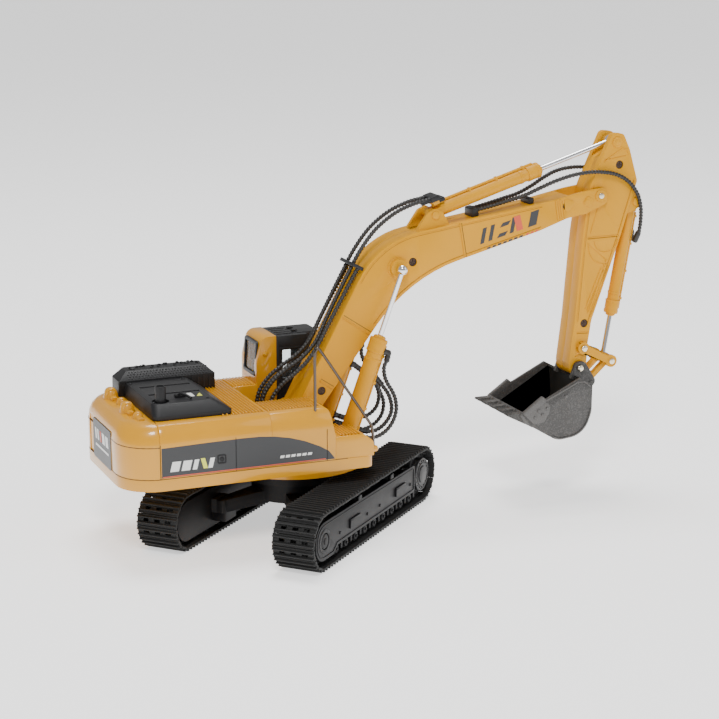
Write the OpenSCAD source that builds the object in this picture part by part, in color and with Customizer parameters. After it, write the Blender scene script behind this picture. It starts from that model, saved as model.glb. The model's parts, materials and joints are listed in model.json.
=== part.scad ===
/* [Machine] */
// Width of the upper structure
house_w = 59; // [57:0.5:61]
// Swing of the undercarriage from the boom's direction, in degrees
swing = 43; // [35:1:50]
// Gap between neighbouring faces that move
gap = 0.3; // [0.2:0.05:0.4]

/* [Tracks] */
// Length of one track over its grousers
track_len = 108; // [104:1:112]
// Height of one track over its grousers
track_h = 21.6; // [21:0.2:22.4]
// Distance between the centre lines of the tracks
gauge = 53; // [52:0.5:55]
// Width of one track shoe
shoe_w = 16; // [14:0.5:17]
// Number of shoes on one track
shoe_count = 54; // [48:1:58]

/* [Upper structure] */
// Height of the deck's underside above the ground
deck_z = 27.3; // [27:0.1:28]
// Height of the roof above the ground
roof_z = 50.4; // [50:0.1:52]
// Height of the cab roof above the ground
cab_z = 67.7; // [66:0.1:69]
// Reach of the counterweight behind the slew axis
tail_x = 71; // [70:0.5:73]

/* [Boom and arm] */
// Width of the boom
boom_w = 13.8; // [13.4:0.2:14.2]
// Width of the arm
arm_w = 10.6; // [10.2:0.2:11]
// Width of the bucket
bucket_w = 29.9; // [28:0.1:32]
// Diameter of the recessed screw heads
screw_d = 3.2; // [2.8:0.1:3.4]

/* [Hidden] */
$fn = 48;

// The row's origin is under the middle of the whole model; the house's own frame is on the slew axis
front_reach = 140.94;
origin_x = (front_reach - tail_x) / 2;

// Pivots in the boom's plane, as [x, z] from the slew axis at ground level
boom_foot = [2, 41];
boom_tip = [121.5, 115];
boom_cylinder_foot = [15.2, 29.9];
boom_cylinder_head = [38.6, 93.8];
arm_cylinder_foot = [54.5, 111.6];
arm_cylinder_head = [128.8, 134.6];
bucket_cylinder_foot = [138.4, 111.5];
guide_pivot = [115.9, 56.9];
link_pivot = [128, 50.8];
bucket_pivot = [114.3, 49.4];
bucket_link_pivot = [119.4, 43];

pin_r = 1.05;
pin_fit = 0.05;
bore_r = pin_r + pin_fit;
arc_steps = 8;

// Tracks
track_r = track_h / 2;
run = track_len - track_h;
plate_r = track_r - 0.9;
inner_r = track_r - 2.6;
wheel_r = inner_r - gap;
loop_len = 2 * run + 2 * PI * plate_r;
shoe_pitch = loop_len / shoe_count;
frame_half = run / 2 - wheel_r - 1.2;
arm_plate_y = shoe_w / 2 - 4;
screw_y = gauge / 2 - 7.6;

// House
half_w = house_w / 2;
rim_h = 4.2;
rim_top = deck_z + rim_h;
shoulder_z = 42.8;
shoulder_inset = 4.2;
crease_x = -58.7;
well_x = -18.2;
well_half = 11.6;
front_x = 20.4;
step_z = 39.7;
step_x = 5.4;
cab_y = 13;
cab_x = -8.8;
cab_split_x = -1;
cab_front_x = 20;
cab_floor_z = 36.6;
cab_nose_x = 11.2;
cab_nose_y = 15.2;
table_r = 27;
table_z = 24.6;

// Roof fittings
exhaust = [-54, -15.4];
rail_x = -1.3;
rail_y = -26.9;
rail_z = 46;
rail_r = 0.55;

// Cylinders
boom_cyl_y = 11.4;
boom_barrel_r = 2.9;
boom_barrel_len = 42;
notch_x = 11.4;
rod_r = 0.95;
rod_fit = 0.05;
slim_barrel_r = 2.5;

// Hoses
hose_r = 0.8;
hose_y = 2.6;
long_hose_route = [[-12, 39.5], [-12.6, 45], [-11.4, 50.6], [-7.6, 55.6], [-2.4, 59.4], [3.4, 63], [8.6, 68.4],
    [12.4, 76], [16.6, 84], [21.2, 92.4], [25.6, 100], [31.6, 107.4], [39, 112.8], [46.4, 115.8], [52.4, 117]];
short_hose_route = [[-9.6, 39.5], [-10.2, 45], [-8.8, 50], [-5.2, 54.2], [-0.4, 57.6], [4.4, 61.8], [8.4, 67],
    [12.4, 74.2], [17.2, 82.6], [21.8, 90.6], [24.6, 95.2]];
arm_hose_route = [[73, 2.2, 112.2], [78, 2.4, 113.2], [85, 2.6, 114.8], [91.6, 2.8, 116.4], [97.6, 3.4, 118.8],
    [103, 4.8, 121.2], [109, 6.4, 123.2], [115, 7, 124.1], [121, 7.1, 124], [127.4, 7.1, 122.8],
        [133, 7, 119.8],
    [137.2, 6.6, 115], [139.4, 5.8, 109.6], [140.4, 4.4, 104], [140.6, 3, 99]];
outer_loop_right = [[32.9, 64.6], [32.1, 61.4], [31, 58.7], [31.3, 55.3], [32.5, 52.4], [34.3, 49.4],
    [35.5, 46.4],
    [35.9, 42.5], [34.8, 38.6], [32.5, 35.4], [29.5, 33.5], [27.1, 32.9], [24, 32.9], [20.9, 33.2]];
inner_loop_right = [[28.7, 54.7], [30.3, 52.7], [32.7, 49.6], [34.3, 46.6], [35.1, 42.6], [34.2, 39.3],
    [31.5, 36.2],
    [28, 34.6], [24.6, 35], [21.9, 36]];
outer_loop_left = [[32.9, 64.6], [32.7, 61.4], [32.6, 58], [34, 54.4], [36.2, 50.6], [38.3, 47], [40.1, 43],
    [41.6, 38.6],
    [41.1, 34.5], [39.3, 31.7], [36.5, 29.7], [32.8, 28.8], [28.2, 29.6], [24, 32], [20.9, 33.2]];
inner_loop_left = [[28.7, 54.7], [31.6, 52.4], [35.4, 49], [38, 45], [38.6, 41], [37.4, 37.4], [34, 34.8],
    [29, 34],
    [24.8, 34.8], [21.9, 36]];

// ---------- outlines ----------

function unit(v) = v / norm(v);

// Corner b of the path a-b-c rounded by radius r, or left sharp where r is 0
function corner(a, b, c, r) =
    r == 0 ? [b] :
    let (u = unit(a - b),
         v = unit(c - b),
         half = acos(u * v) / 2,
         centre = b + unit(u + v) * r / sin(half),
         p = b + u * r / tan(half) - centre,
         q = b + v * r / tan(half) - centre,
         from = atan2(p.y, p.x),
         turn = (atan2(q.y, q.x) - from + 540) % 360 - 180)
    [for (i = [0 : arc_steps]) centre + r * [cos(from + turn * i / arc_steps), sin(from + turn * i / arc_steps)]];

// Closed outline through [x, y, radius] corners
function rounded(c) =
    let (k = len(c), p = [for (q = c) [q.x, q.y]])
    [for (i = [0 : k - 1]) each corner(p[(i + k - 1) % k], p[i], p[(i + 1) % k], c[i].z)];

// Outline in the XZ plane, extruded along Y from y0 to y1
module slab(corners, y0, y1) {
    translate([0, y1, 0]) rotate([90, 0, 0]) linear_extrude(y1 - y0) polygon(rounded(corners));
}

// Cylinder along Y at pivot p
module pin(p, r, y0, y1) {
    translate([p.x, y0, p.y]) rotate([-90, 0, 0]) cylinder(r = r, h = y1 - y0);
}

// Box given by its two corners
module block(a, b) {
    translate(a) cube(b - a);
}

// The same thing on both sides of the boom's plane
module both() {
    children();
    mirror([0, 1, 0]) children();
}

// Local frame at pivot p with +Z along the line towards q
module along(p, q) {
    translate([p.x, 0, p.y]) rotate([0, 90 - atan2(q.y - p.y, q.x - p.x), 0]) children();
}

// Recess for one screw head in the face at y, opening towards -Y
module screw_recess(p, y) {
    pin(p, screw_d / 2, y - 1, y + 1);
}

// Screw whose head lies just under the face at y, with a cross recess
module screw(p, y) {
    difference() {
        union() {
            pin(p, screw_d / 2 - 0.05, y + 0.3, y + 1);
            pin(p, 0.7, y + 1, y + 4.6);
        }
        for (turn = [0, 90])
            translate([p.x, y + 0.3, p.y]) rotate([0, turn, 0]) block([-0.95, -1, -0.2], [0.95, 0.3, 0.2]);
    }
}

// Everything is drawn in the house's frame and moved to the row's origin
module placed() {
    translate([-origin_x, 0, 0]) children();
}

// Undercarriage pieces are drawn facing +X and swung about the slew axis
module swung() {
    placed() rotate([0, 0, swing]) children();
}

// ---------- hoses ----------

function lerp(a, b, t) = a + (b - a) * t;

// Tube of eight sides swept through [x, y, z] points, closed at both ends
module hose(points, r) {
    sides = 8;
    last = len(points) - 1;
    tangents = [for (i = [0 : last]) unit(points[min(i + 1, last)] - points[max(i - 1, 0)])];
    rings = [for (i = [0 : last])
        let (across = unit(cross(tangents[i], [0, 1, 0.02])), up = cross(across, tangents[i]))
        for (k = [0 : sides - 1])
            points[i] + r * (across * cos(360 * k / sides) + up * sin(360 * k / sides))];
    walls = [for (i = [0 : last - 1], k = [0 : sides - 1])
        let (a = i * sides + k, b = i * sides + (k + 1) % sides)
        each [[a, b, b + sides], [a, b + sides, a + sides]]];
    caps = [[for (k = [sides - 1 : -1 : 0]) k], [for (k = [0 : sides - 1]) last * sides + k]];
    polyhedron(points = rings, faces = concat(walls, caps));
}

// Route given in the boom's plane, carried at a constant distance to one side
function flat_route(route, y) = [for (p = route) [p.x, y, p.y]];

// ---------- undercarriage ----------

// Point of the track's loop at distance s along its plate line, r from the wheel centres
function loop_point(s, r) =
    let (d = (s + loop_len) % loop_len, bend = PI * plate_r)
    d < run ? [d - run / 2, -r] :
    d < run + bend ? let (a = (d - run) / plate_r * 180 / PI) [run / 2 + r * sin(a), -r * cos(a)] :
    d < 2 * run + bend ? [run / 2 - (d - run - bend), r] :
    let (a = (d - 2 * run - bend) / plate_r * 180 / PI) [-run / 2 - r * sin(a), r * cos(a)];

// Outline of the shoes: a plate with one grouser on each, and a shallow joint between shoes
shoe_profile = [[-0.46, 0], [-0.14, 0], [-0.12, 0.9], [0.12, 0.9], [0.14, 0], [0.46, 0], [0.48, -0.5],
    [0.52, -0.5]];

module track_chain(side) {
    outer = [for (i = [0 : shoe_count - 1], p = shoe_profile) loop_point((i + p.x) * shoe_pitch, plate_r + p.y)];
    color("dimgray") swung() translate([0, side * gauge / 2 + shoe_w / 2, track_r]) rotate([90, 0, 0])
        linear_extrude(shoe_w) difference() {
            polygon(outer);
            hull() for (x = [-run / 2, run / 2]) translate([x, 0]) circle(inner_r, $fn = 40);
        }
}

module track_frame(side) {
    beam = [[-frame_half, 6.5, 1], [-frame_half + 5, 4.4, 1], [frame_half - 5, 4.4, 1], [frame_half, 6.5, 1],
        [frame_half, 12, 1.5], [frame_half - 8, 15.4, 2], [-frame_half + 8, 15.4, 2], [-frame_half, 12, 1.5]];
    web = [[-run / 2 - 3.4, 7.4, 3], [run / 2 + 3.4, 7.4, 3], [run / 2 + 3.4, 14.2, 3],
        [-run / 2 - 3.4, 14.2, 3]];
    side_plate = [[-50.4, 4, 6.6], [-36, 4, 0], [-33, 6.4, 1], [35, 6.4, 1], [35, 16.6, 1], [-38, 17.6, 4],
        [-50.4, 17.6, 6.6]];
    roller_r = 1.8;
    color("black") swung() translate([0, side * gauge / 2, 0]) scale([1, side, 1]) difference() {
        union() {
            slab(beam, -5.4, 5.4);
            slab(web, -6.6, -arm_plate_y - 0.3);
            for (i = [-4 : 4]) pin([i * 8, 2.65 + roller_r], roller_r, -6, 6);
            for (x = [-14, 14]) pin([x, track_h - 2.65 - roller_r], roller_r, -4.5, 6.2);
            for (x = [-22, 22]) block([x - 4, -9.4, 9], [x + 4, -5.3, 14]);
            for (x = [-26, -9, 9, 26]) block([x - 2.6, 5.3, 7], [x + 2.6, 6.8, 13.4]);
            slab(side_plate, 6.7, 7.3);
        }
        for (x = [-run / 2, run / 2]) pin([x, track_r], 1.5, -7, 0);
        pin([-run / 2, track_r], 2.9, 6, 8);
        for (x = [-22, 22]) translate([x, screw_y - gauge / 2, 8]) cylinder(r = 0.8, h = 4);
    }
}

module wheel(side, x, hub_r, hub_y) {
    color("gray") swung() translate([0, side * gauge / 2, 0]) scale([1, side, 1]) difference() {
        union() {
            pin([x, track_r], wheel_r, -arm_plate_y + 0.3, 4.6);
            pin([x, track_r], hub_r, 4.5, hub_y);
            pin([x, track_r], hub_r * 0.55, hub_y - 0.1, 7.4);
        }
        pin([x, track_r], 1.55, -5, 5.4);
        for (turn = [0 : 30 : 330])
            translate([x, 0, track_r]) rotate([0, turn, 0]) pin([wheel_r + 0.6, 0], 1.1, -5, 5);
    }
}

module sprocket_right() { wheel(-1, run / 2, 6, 6.6); }
module sprocket_left() { wheel(1, run / 2, 6, 6.6); }
module idler_right() { wheel(-1, -run / 2, 4.6, 6.4); }
module idler_left() { wheel(1, -run / 2, 4.6, 6.4); }
module track_frame_right() { track_frame(-1); }
module track_frame_left() { track_frame(1); }
module track_chain_right() { track_chain(-1); }
module track_chain_left() { track_chain(1); }

module wheel_axles() {
    color("silver") swung() for (side = [-1, 1], x = [-run / 2, run / 2])
        translate([0, side * gauge / 2, 0]) scale([1, side, 1]) pin([x, track_r], 1.5, -6.6, 5.2);
}

module car_body() {
    leg_y = gauge / 2 - 9.4;
    color("black") swung() difference() {
        union() {
            translate([0, 0, 12]) cylinder(r = 15, h = 7);
            translate([0, 0, 19]) cylinder(r = 17.5, h = table_z - gap - 19);
            for (x = [-1, 1], side = [-1, 1]) hull() {
                translate([0, 0, 12.4]) cylinder(r = 6, h = 4.6, $fn = 24);
                translate([x * 22, side * (leg_y - 1), 11.5]) cube([9, 2, 4.6], center = true);
            }
            for (x = [-22, 22], side = [-1, 1])
                scale([1, side, 1]) block([x - 4, screw_y - 2.2, 6], [x + 4, screw_y + 0.9, 9]);
            for (x = [-22, 22], side = [-1, 1])
                block([x - 4, side * (leg_y - 1.6) - 1.6, 6], [x + 4, side * (leg_y - 1.6) + 1.6, 13.6]);
        }
        translate([0, 0, 5]) cylinder(r = 5.05, h = 25);
        translate([0, 0, 5]) cylinder(r = 7, h = 7);
        for (x = [-22, 22], side = [-1, 1]) translate([x, side * screw_y, 5]) cylinder(r = 0.8, h = 5);
    }
}

module frame_screws() {
    color("silver") swung() for (x = [-22, 22], side = [-1, 1]) translate([x, side * screw_y, 4.8]) {
        cylinder(r = 1.4, h = 1.2);
        cylinder(r = 0.7, h = 6.6);
    }
}

// ---------- upper structure ----------

// Plan outline of the house, drawn in by an inset
function plan(inset) = [
    [-tail_x + inset, -half_w + inset, 13], [front_x - inset, -half_w + inset, 3.5],
    [front_x - inset, half_w - inset, 3.5], [-tail_x + inset, half_w - inset, 13]];

// Plan outline between two heights, kept between two planes across X
module storey(inset, z0, z1, x0, x1) {
    intersection() {
        translate([0, 0, z0]) linear_extrude(z1 - z0) polygon(rounded(plan(inset)));
        block([x0, -50, z0], [x1, 50, z1]);
    }
}

// Body panel with the rounded shoulder, kept between two planes across X
module body_panel(x0, x1) {
    storey(0, rim_top, shoulder_z, x0, x1);
    hull() for (step = [0 : 4])
        let (t = step * 22.5,
             inset = shoulder_inset * (1 - cos(t)),
             z = lerp(shoulder_z, roof_z - 0.1, sin(t)))
        storey(inset, z, z + 0.1, x0, x1);
}

module house_deck() {
    notch_in = boom_cyl_y - 1.5;
    notch_out = boom_cyl_y + 3.6;
    color("goldenrod") placed() difference() {
        union() {
            difference() {
                union() {
                    translate([0, 0, deck_z]) linear_extrude(rim_h) polygon(rounded(plan(0)));
                    translate([0, 0, table_z]) cylinder(r = table_r, h = 3, $fn = 96);
                }
                both() block([notch_x, notch_in, 26], [front_x + 1, notch_out, 40]);
                both() block([notch_x, boom_cyl_y - 3.4, 30], [front_x + 1, notch_out, 40]);
            }
            translate([0, 0, 13]) cylinder(r = 5, h = 14);
            both() slab([[-4, rim_top - 1, 0], [8, rim_top - 1, 0], [6.4, 45.4, 4], [-2.4, 45.4, 4]], 7.2, 9.2);
            both() for (y = [notch_in - 0.7, notch_in + 3]) {
                pin(boom_cylinder_foot, 2.5, y, y + 0.7);
                block([notch_x - 0.9, y, 27.3], [17.7, y + 0.7, 29.9]);
            }
        }
        translate([0, 0, 12]) cylinder(r = 1.2, h = 9);
        both() pin(boom_cylinder_foot, pin_r, 8, 14);
        pin(boom_foot, 1.5, -10, 10);
    }
}

module slew_screw() {
    color("silver") placed() difference() {
        union() {
            translate([0, 0, 10.6]) cylinder(r = 6.6, h = 1.1);
            translate([0, 0, 11.7]) cylinder(r = 4.9, h = 1.3);
            translate([0, 0, 12.9]) cylinder(r = 1.2, h = 7);
        }
        for (turn = [0, 90]) translate([0, 0, 10.5]) rotate([0, 0, turn]) cube([4, 0.7, 1.2], center = true);
    }
}

module counterweight() {
    color("goldenrod") placed() difference() {
        union() {
            body_panel(-80, crease_x - 0.1);
            for (y = [-7, 14]) pin_lug(-63.6, y, 2.3, 3.8);
            for (y = [-16, 4.6]) pin_lug(-62.4, y, 1.6, 2.2);
        }
        block([-tail_x - 1, -9.4, 30.4], [-tail_x + 0.35, 16.4, 45]);
    }
}

// Rounded lifting lug standing on the roof
module pin_lug(x, y, r, h) {
    translate([x, y, roof_z - 0.2]) cylinder(r = r, h = h * 0.55);
    translate([x, y - r * 0.8, roof_z + h * 0.45]) rotate([-90, 0, 0]) cylinder(r = h * 0.5, h = r * 1.6);
}

module engine_housing() {
    color("goldenrod") placed() body_panel(crease_x, well_x);
}

module right_cover() {
    front = [[well_x, rim_top, 0], [step_x, rim_top, 0], [step_x, step_z, 0], [3.4, roof_z, 2.4],
        [well_x, roof_z, 0]];
    color("goldenrod") placed() difference() {
        intersection() {
            body_panel(well_x, step_x);
            slab(front, -half_w, -well_half);
        }
        translate([rail_x, rail_y, rail_z]) cylinder(r = rail_r, h = 10, $fn = 16);
    }
}

module front_step() {
    profile = [[step_x, rim_top, 0], [front_x - 0.3, rim_top, 0], [front_x - 0.3, step_z - 3, 3],
        [16.2, step_z, 2.4],
        [step_x, step_z, 0]];
    color("goldenrod") placed() difference() {
        slab(profile, -half_w, -well_half);
        for (x = [8 : 1.3 : 15]) block([x, -half_w + 1, step_z - 0.5], [x + 0.6, -well_half - 1, step_z + 1]);
        block([notch_x, -boom_cyl_y - 3.6, 30], [front_x + 1, -well_half + 1, 45]);
    }
}

module left_cover() {
    color("goldenrod") placed() {
        intersection() {
            body_panel(well_x, cab_x - 0.1);
            block([well_x, well_half, 30], [0, 40, 60]);
        }
        difference() {
            slab([[cab_x - 0.2, rim_top, 0], [front_x - 0.3, rim_top, 0], [front_x - 0.3, cab_floor_z, 0],
                [cab_x - 0.2, cab_floor_z, 0]],
                well_half + 0.6, half_w);
            block([notch_x, well_half, 30], [front_x + 1, boom_cyl_y + 3.6, 45]);
        }
    }
}

module engine_cover() {
    near = -23.5;
    far = 13.6;
    color("black") placed() difference() {
        hull() {
            translate([0, 0, roof_z]) linear_extrude(1.6) polygon(rounded([[-59, near, 2.5], [-30.4, near, 2],
                [-30.4, far, 0], [-59, far, 0]]));
            translate([0, 0, 55]) linear_extrude(0.4) polygon(rounded([[-58, near + 4, 3], [-35.8, near + 4, 2],
                [-35.8, far, 0], [-58, far, 0]]));
        }
        for (y = [-6, 5]) slab([[-55.5, 54.8, 0], [-37, 54.8, 0], [-37, 56, 0],
            [-55.5, 56, 0]], y - 0.9, y + 0.9);
        translate([exhaust.x, exhaust.y, 54]) cylinder(r = 3, h = 2);
        translate([exhaust.x, exhaust.y, 50]) cylinder(r = 1.95, h = 5);
    }
}

module grille_box() {
    near = 13.7;
    far = 27.2;
    color("black") placed() union() {
        hull() {
            translate([0, 0, roof_z]) linear_extrude(5.6) polygon(rounded([[-60.6, near, 0.5],
                [-24.5, near, 0.5],
                [-24.5, far - 2, 3], [-60.6, far - 2, 3]]));
            translate([0, 0, 58.6]) linear_extrude(0.2) polygon(rounded([[-57, near + 3.4, 0.5],
                [-27.6, near + 3.4, 0.5],
                [-27.6, far - 3.6, 1.5], [-57, far - 3.6, 1.5]]));
        }
        for (i = [0 : 9]) translate([-54.5 + i * 2.8, 20.4 + (i % 3) * 0.9, 58.7]) cylinder(r = 0.5, h = 0.7);
    }
}

module exhaust_pipe() {
    color("black") placed() difference() {
        translate([exhaust.x, exhaust.y, roof_z]) cylinder(r = 1.9, h = 10.4);
        translate([exhaust.x, exhaust.y, 55]) cylinder(r = 1.4, h = 8);
        translate([exhaust.x, exhaust.y, 61.4]) rotate([0, 28, 0]) translate([-5, -5, 0]) cube([12, 10, 6]);
    }
}

module cab_rear_shell() {
    outline = [[cab_x, cab_floor_z, 0], [cab_split_x, cab_floor_z, 0], [cab_split_x, cab_z, 0],
        [cab_x + 2.2, cab_z, 3.5], [cab_x, 58, 8]];
    inside = [[cab_x + 1.3, cab_floor_z - 1, 0], [10, cab_floor_z - 1, 0], [10, cab_z - 1.2, 0],
        [cab_x + 3, cab_z - 1.2, 2.5], [cab_x + 1.3, 58, 8]];
    color("goldenrod") placed() difference() {
        slab(outline, cab_y, half_w);
        slab(inside, cab_y + 1.2, half_w - 1.2);
        translate([0, cab_y + 2.3, 0]) block([cab_x - 1, 0, 53.4], [cab_x + 3, half_w - cab_y - 4.6, 65]);
    }
}

module cab_frame() {
    back = cab_split_x + 0.05;
    wall = 1.2;
    low = cab_floor_z + wall;
    high = cab_z - 1.8;
    outline = [[back, cab_floor_z, 0], [cab_front_x, cab_floor_z, 1], [cab_front_x + 0.4, 52, 0],
        [cab_front_x - 1.4, cab_z - 0.2, 2.5], [back, cab_z - 0.2, 0]];
    color("black") placed() difference() {
        slab(outline, cab_y + 0.2, half_w - 0.2);
        block([cab_nose_x, cab_y, cab_floor_z - 1], [cab_front_x + 2, cab_nose_y, cab_z + 1]);
        block([back - 1, cab_y + 1.4, low], [cab_nose_x - wall, half_w - 1.4, high]);
        block([back - 1, cab_nose_y + wall, low], [cab_front_x - wall, half_w - 1.4, high]);
        slab([[1, 51.4, 1], [9.6, 51.4, 1], [9.6, 62.2, 1], [1, 62.2, 1]], cab_y - 1, cab_y + 3);
        slab([[1, 51.4, 1], [10.4, 51.4, 1], [10.4, 62.2, 1], [1, 62.2, 1]], half_w - 3, half_w + 1);
        block([cab_front_x - 3, cab_nose_y + 1.6, 42], [cab_front_x + 3, half_w - 2.2, 64]);
        for (i = [0 : 3]) block([0.4, cab_y + 2.8 + i * 3, cab_z - 0.6], [6.6, cab_y + 4 + i * 3, cab_z + 1]);
        for (y = [cab_y + 4.6, half_w - 3]) block([8.2, y, cab_z - 0.6], [17, y + 0.4, cab_z + 1]);
    }
}

module cab_windshield() {
    color("lightblue", 0.4) placed()
        block([cab_front_x - 1.1, cab_nose_y + 1.6, 42], [cab_front_x - 0.5, half_w - 2.2, 64]);
}

module cab_seat() {
    color("dimgray") placed() slab([[0, cab_floor_z + 1.2, 0], [8, cab_floor_z + 1.2, 0], [8.6, 43, 1],
        [3.2, 42.6, 0.6],
        [1.6, 52, 1], [-0.6, 52, 1]], cab_y + 5, half_w - 5);
}

module handrail() {
    points = [for (p = [[rail_x, rail_z], [rail_x, 71.8], [20.2, 41.6], [20.9, 33.4]])
        [p.x, rail_y, p.y]];
    color("gray") placed() {
        for (i = [0 : len(points) - 2]) along_rail(points[i], points[i + 1]);
        for (i = [1 : len(points) - 2]) translate(points[i]) sphere(r = rail_r * 1.08, $fn = 24);
    }
    color("goldenrod") placed()
        translate([front_x - 0.3, rail_y, 33.2]) rotate([0, 90, 0]) cylinder(r = 1.1, h = 2.2);
}

// Straight piece of the handrail between two points
module along_rail(a, b) {
    d = b - a;
    translate(a) rotate([0, acos(d.z / norm(d)), atan2(d.y, d.x)]) cylinder(r = rail_r, h = norm(d), $fn = 16);
}

module boom_foot_pin() {
    color("silver") placed() pin(boom_foot, 1.5, -9.2, 9.2);
}

module boom_cylinder_foot_pins() {
    color("silver") placed() both() pin(boom_cylinder_foot, pin_r, boom_cyl_y - 2.2, boom_cyl_y + 2.2);
}

// ---------- boom ----------

boom_outline = [[-3.8, 39.5, 3.8], [30.9, 103.8, 32], [96.1, 113.4, 30], [112.7, 116.7, 10],
    [123.8, 118.2, 2.4],
    [124.4, 112.2, 2.2], [115.4, 108.6, 4], [107.6, 107.4, 6], [96.3, 103.5, 20], [42.8, 89.4, 60],
        [2.1, 35.7, 2.9]];
boom_screw_points = [[9, 50.7], [44.7, 95.4], [107.2, 112]];
boom_seams = [[17.4, 77, 27.8, 70], [63.3, 108.4, 65.8, 95.4], [8.2, 54.6, 13.2, 51],
    [103.2, 114, 104.2, 106.8],
    [105.1, 114.2, 106.1, 107.2]];

module boom_half(side) {
    outer = boom_w / 2;
    y0 = side > 0 ? 0 : -outer;
    slot_half = arm_w / 2 + gap;
    color("goldenrod") placed() difference() {
        union() {
            slab(boom_outline, y0, y0 + outer);
            scale([1, side, 1]) {
                pin(boom_cylinder_head, 3.3, outer - 0.5, boom_cyl_y - 2.1);
                pin(boom_cylinder_head, 0.5, boom_cyl_y - 2.2, boom_cyl_y - 0.8);
                slab([[46, 105, 0], [60.5, 107, 0], [57.4, 112.6, 1.6], [54.4, 114, 1.6],
                    [51.4, 112.6, 1.6]], 3.4, 5);
            }
        }
        block([108.2, -slot_half, 98], [130, slot_half, 126]);
        pin(boom_foot, 1.5 + pin_fit, -20, 20);
        pin(boom_tip, pin_r, -20, 20);
        pin(arm_cylinder_foot, pin_r, -6, 6);
        if (side < 0) for (p = boom_screw_points) {
            screw_recess(p, -outer);
            pin(p, 0.72, -outer, -1.2);
        }
        scale([1, side, 1]) for (seam = boom_seams) seam_groove(seam, outer);
    }
}

// Shallow groove in the boom's side along the line from [x0, z0] to [x1, z1]
module seam_groove(s, outer) {
    length = norm([s[2] - s[0], s[3] - s[1]]);
    translate([s[0], outer, s[1]]) rotate([0, -atan2(s[3] - s[1], s[2] - s[0]), 0])
        block([0, -0.2, -0.2], [length, 1, 0.2]);
}

module boom_right_half() { boom_half(-1); }
module boom_left_half() { boom_half(1); }

module boom_screws() {
    color("silver") placed() for (p = boom_screw_points) screw(p, -boom_w / 2);
}

module boom_pins() {
    color("silver") placed() {
        pin(boom_tip, pin_r, -boom_w / 2 - 0.4, boom_w / 2 + 0.4);
        pin(arm_cylinder_foot, pin_r, -5.2, 5.2);
    }
}

module hose_clamps() {
    bar = 1.3;
    color("dimgray") placed() {
        along([17.2, 78.4], [26, 94.7]) translate([0, 0, 17]) {
            block([-2.9, -6.2, 0], [-1.75, 6.2, bar]);
            block([-4.6, -6.2, 0], [-4, 6.2, bar]);
            both() block([-4.6, 5.6, 0], [0, 6.2, bar]);
        }
        slab([[70, 109.57, 0], [72.6, 109.95, 0], [72.6, 113.2, 0.5], [70, 112.6, 0.5]], -3.4, 3.4);
        slab([[93.2, 112.98, 0], [95, 113.24, 0], [95, 115.4, 0], [93.2, 115, 0]], -3.8, 3.8);
    }
}

// ---------- arm ----------

arm_outline = [[126.6, 138.2, 2.2], [131.4, 137.6, 2], [134.2, 131.6, 2], [137.8, 119.6, 2.5],
    [131.2, 98.6, 30], [119.8, 67.2, 10],
    [118.4, 58, 2], [117.9, 46.2, 3.1], [111.1, 46.2, 3.1], [110.6, 51, 2], [112.6, 67.6, 20],
        [115.2, 99.6, 30], [117.6, 118, 8]];
arm_screw_points = [[130, 126], [116.7, 66.2]];
arm_seams = [[123.4, 128.2, 132.6, 129.4], [117.4, 98.6, 130.6, 98.9], [117.8, 96.4, 124.8, 90.6],
    [127.4, 89.6, 119.6, 69.4], [125.2, 88.8, 118, 70.2], [113.8, 62.6, 118.6, 62.4]];

module arm_half(side) {
    outer = arm_w / 2;
    y0 = side > 0 ? 0 : -outer;
    color("goldenrod") placed() difference() {
        union() {
            slab(arm_outline, y0, y0 + outer);
            scale([1, side, 1]) slab([[133, 119, 0], [131, 106, 0], [136, 107.6, 1.4], [140.4, 109.6, 2],
                [140, 113.8, 2], [137, 118, 1.4]], 3, 4.4);
        }
        slab([[132.4, 131.4, 0], [126.5, 131.4, 0], [114, 123.4, 0], [110, 123.4, 0], [110, 145, 0],
            [132.4, 145, 0]], -3, 3);
        for (p = [arm_cylinder_head, bucket_cylinder_foot, guide_pivot, bucket_pivot]) pin(p, pin_r, -6, 6);
        pin(boom_tip, bore_r, -6, 6);
        if (side < 0) for (p = arm_screw_points) {
            screw_recess(p, -outer);
            pin(p, 0.72, -outer, -0.6);
        }
        scale([1, side, 1]) for (s = arm_seams) seam_groove(s, outer);
    }
}

module arm_right_half() { arm_half(-1); }
module arm_left_half() { arm_half(1); }

module arm_screws() {
    color("silver") placed() for (p = arm_screw_points) screw(p, -arm_w / 2);
}

module arm_pins() {
    color("silver") placed() {
        pin(arm_cylinder_head, pin_r, -5.2, 5.2);
        pin(bucket_cylinder_foot, pin_r, -5, 5);
        pin(guide_pivot, pin_r, -8, 8);
        pin(bucket_pivot, pin_r, -8.2, 8.2);
    }
}

// ---------- cylinders ----------

// Barrel from its foot eye towards its head, with a gland, and a hard line with clips on one side
module barrel(foot, head, r, length, eye_w, line_side) {
    along(foot, head) difference() {
        union() {
            rotate([90, 0, 0]) translate([0, 0, -eye_w / 2]) cylinder(r = r * 0.8, h = eye_w);
            block([-r * 0.62, -eye_w / 2, 0], [r * 0.62, eye_w / 2, 4]);
            translate([0, 0, 3]) cylinder(r = r, h = length - 3);
            translate([0, 0, length - 4.6]) cylinder(r = r + 0.35, h = 4.6);
            translate([line_side * (r + 0.55), 0, 4.5]) cylinder(r = 0.5, h = length - 6.5, $fn = 16);
            for (k = [0 : 3])
                translate([line_side * (r + 0.3), 0, 6 + k * (length - 12) / 3]) cube([1.6, 1.6, 0.9], center = true);
        }
        rotate([90, 0, 0]) translate([0, 0, -eye_w]) cylinder(r = bore_r, h = eye_w * 2);
        translate([0, 0, 5]) cylinder(r = rod_r + rod_fit, h = length);
    }
}

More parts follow.
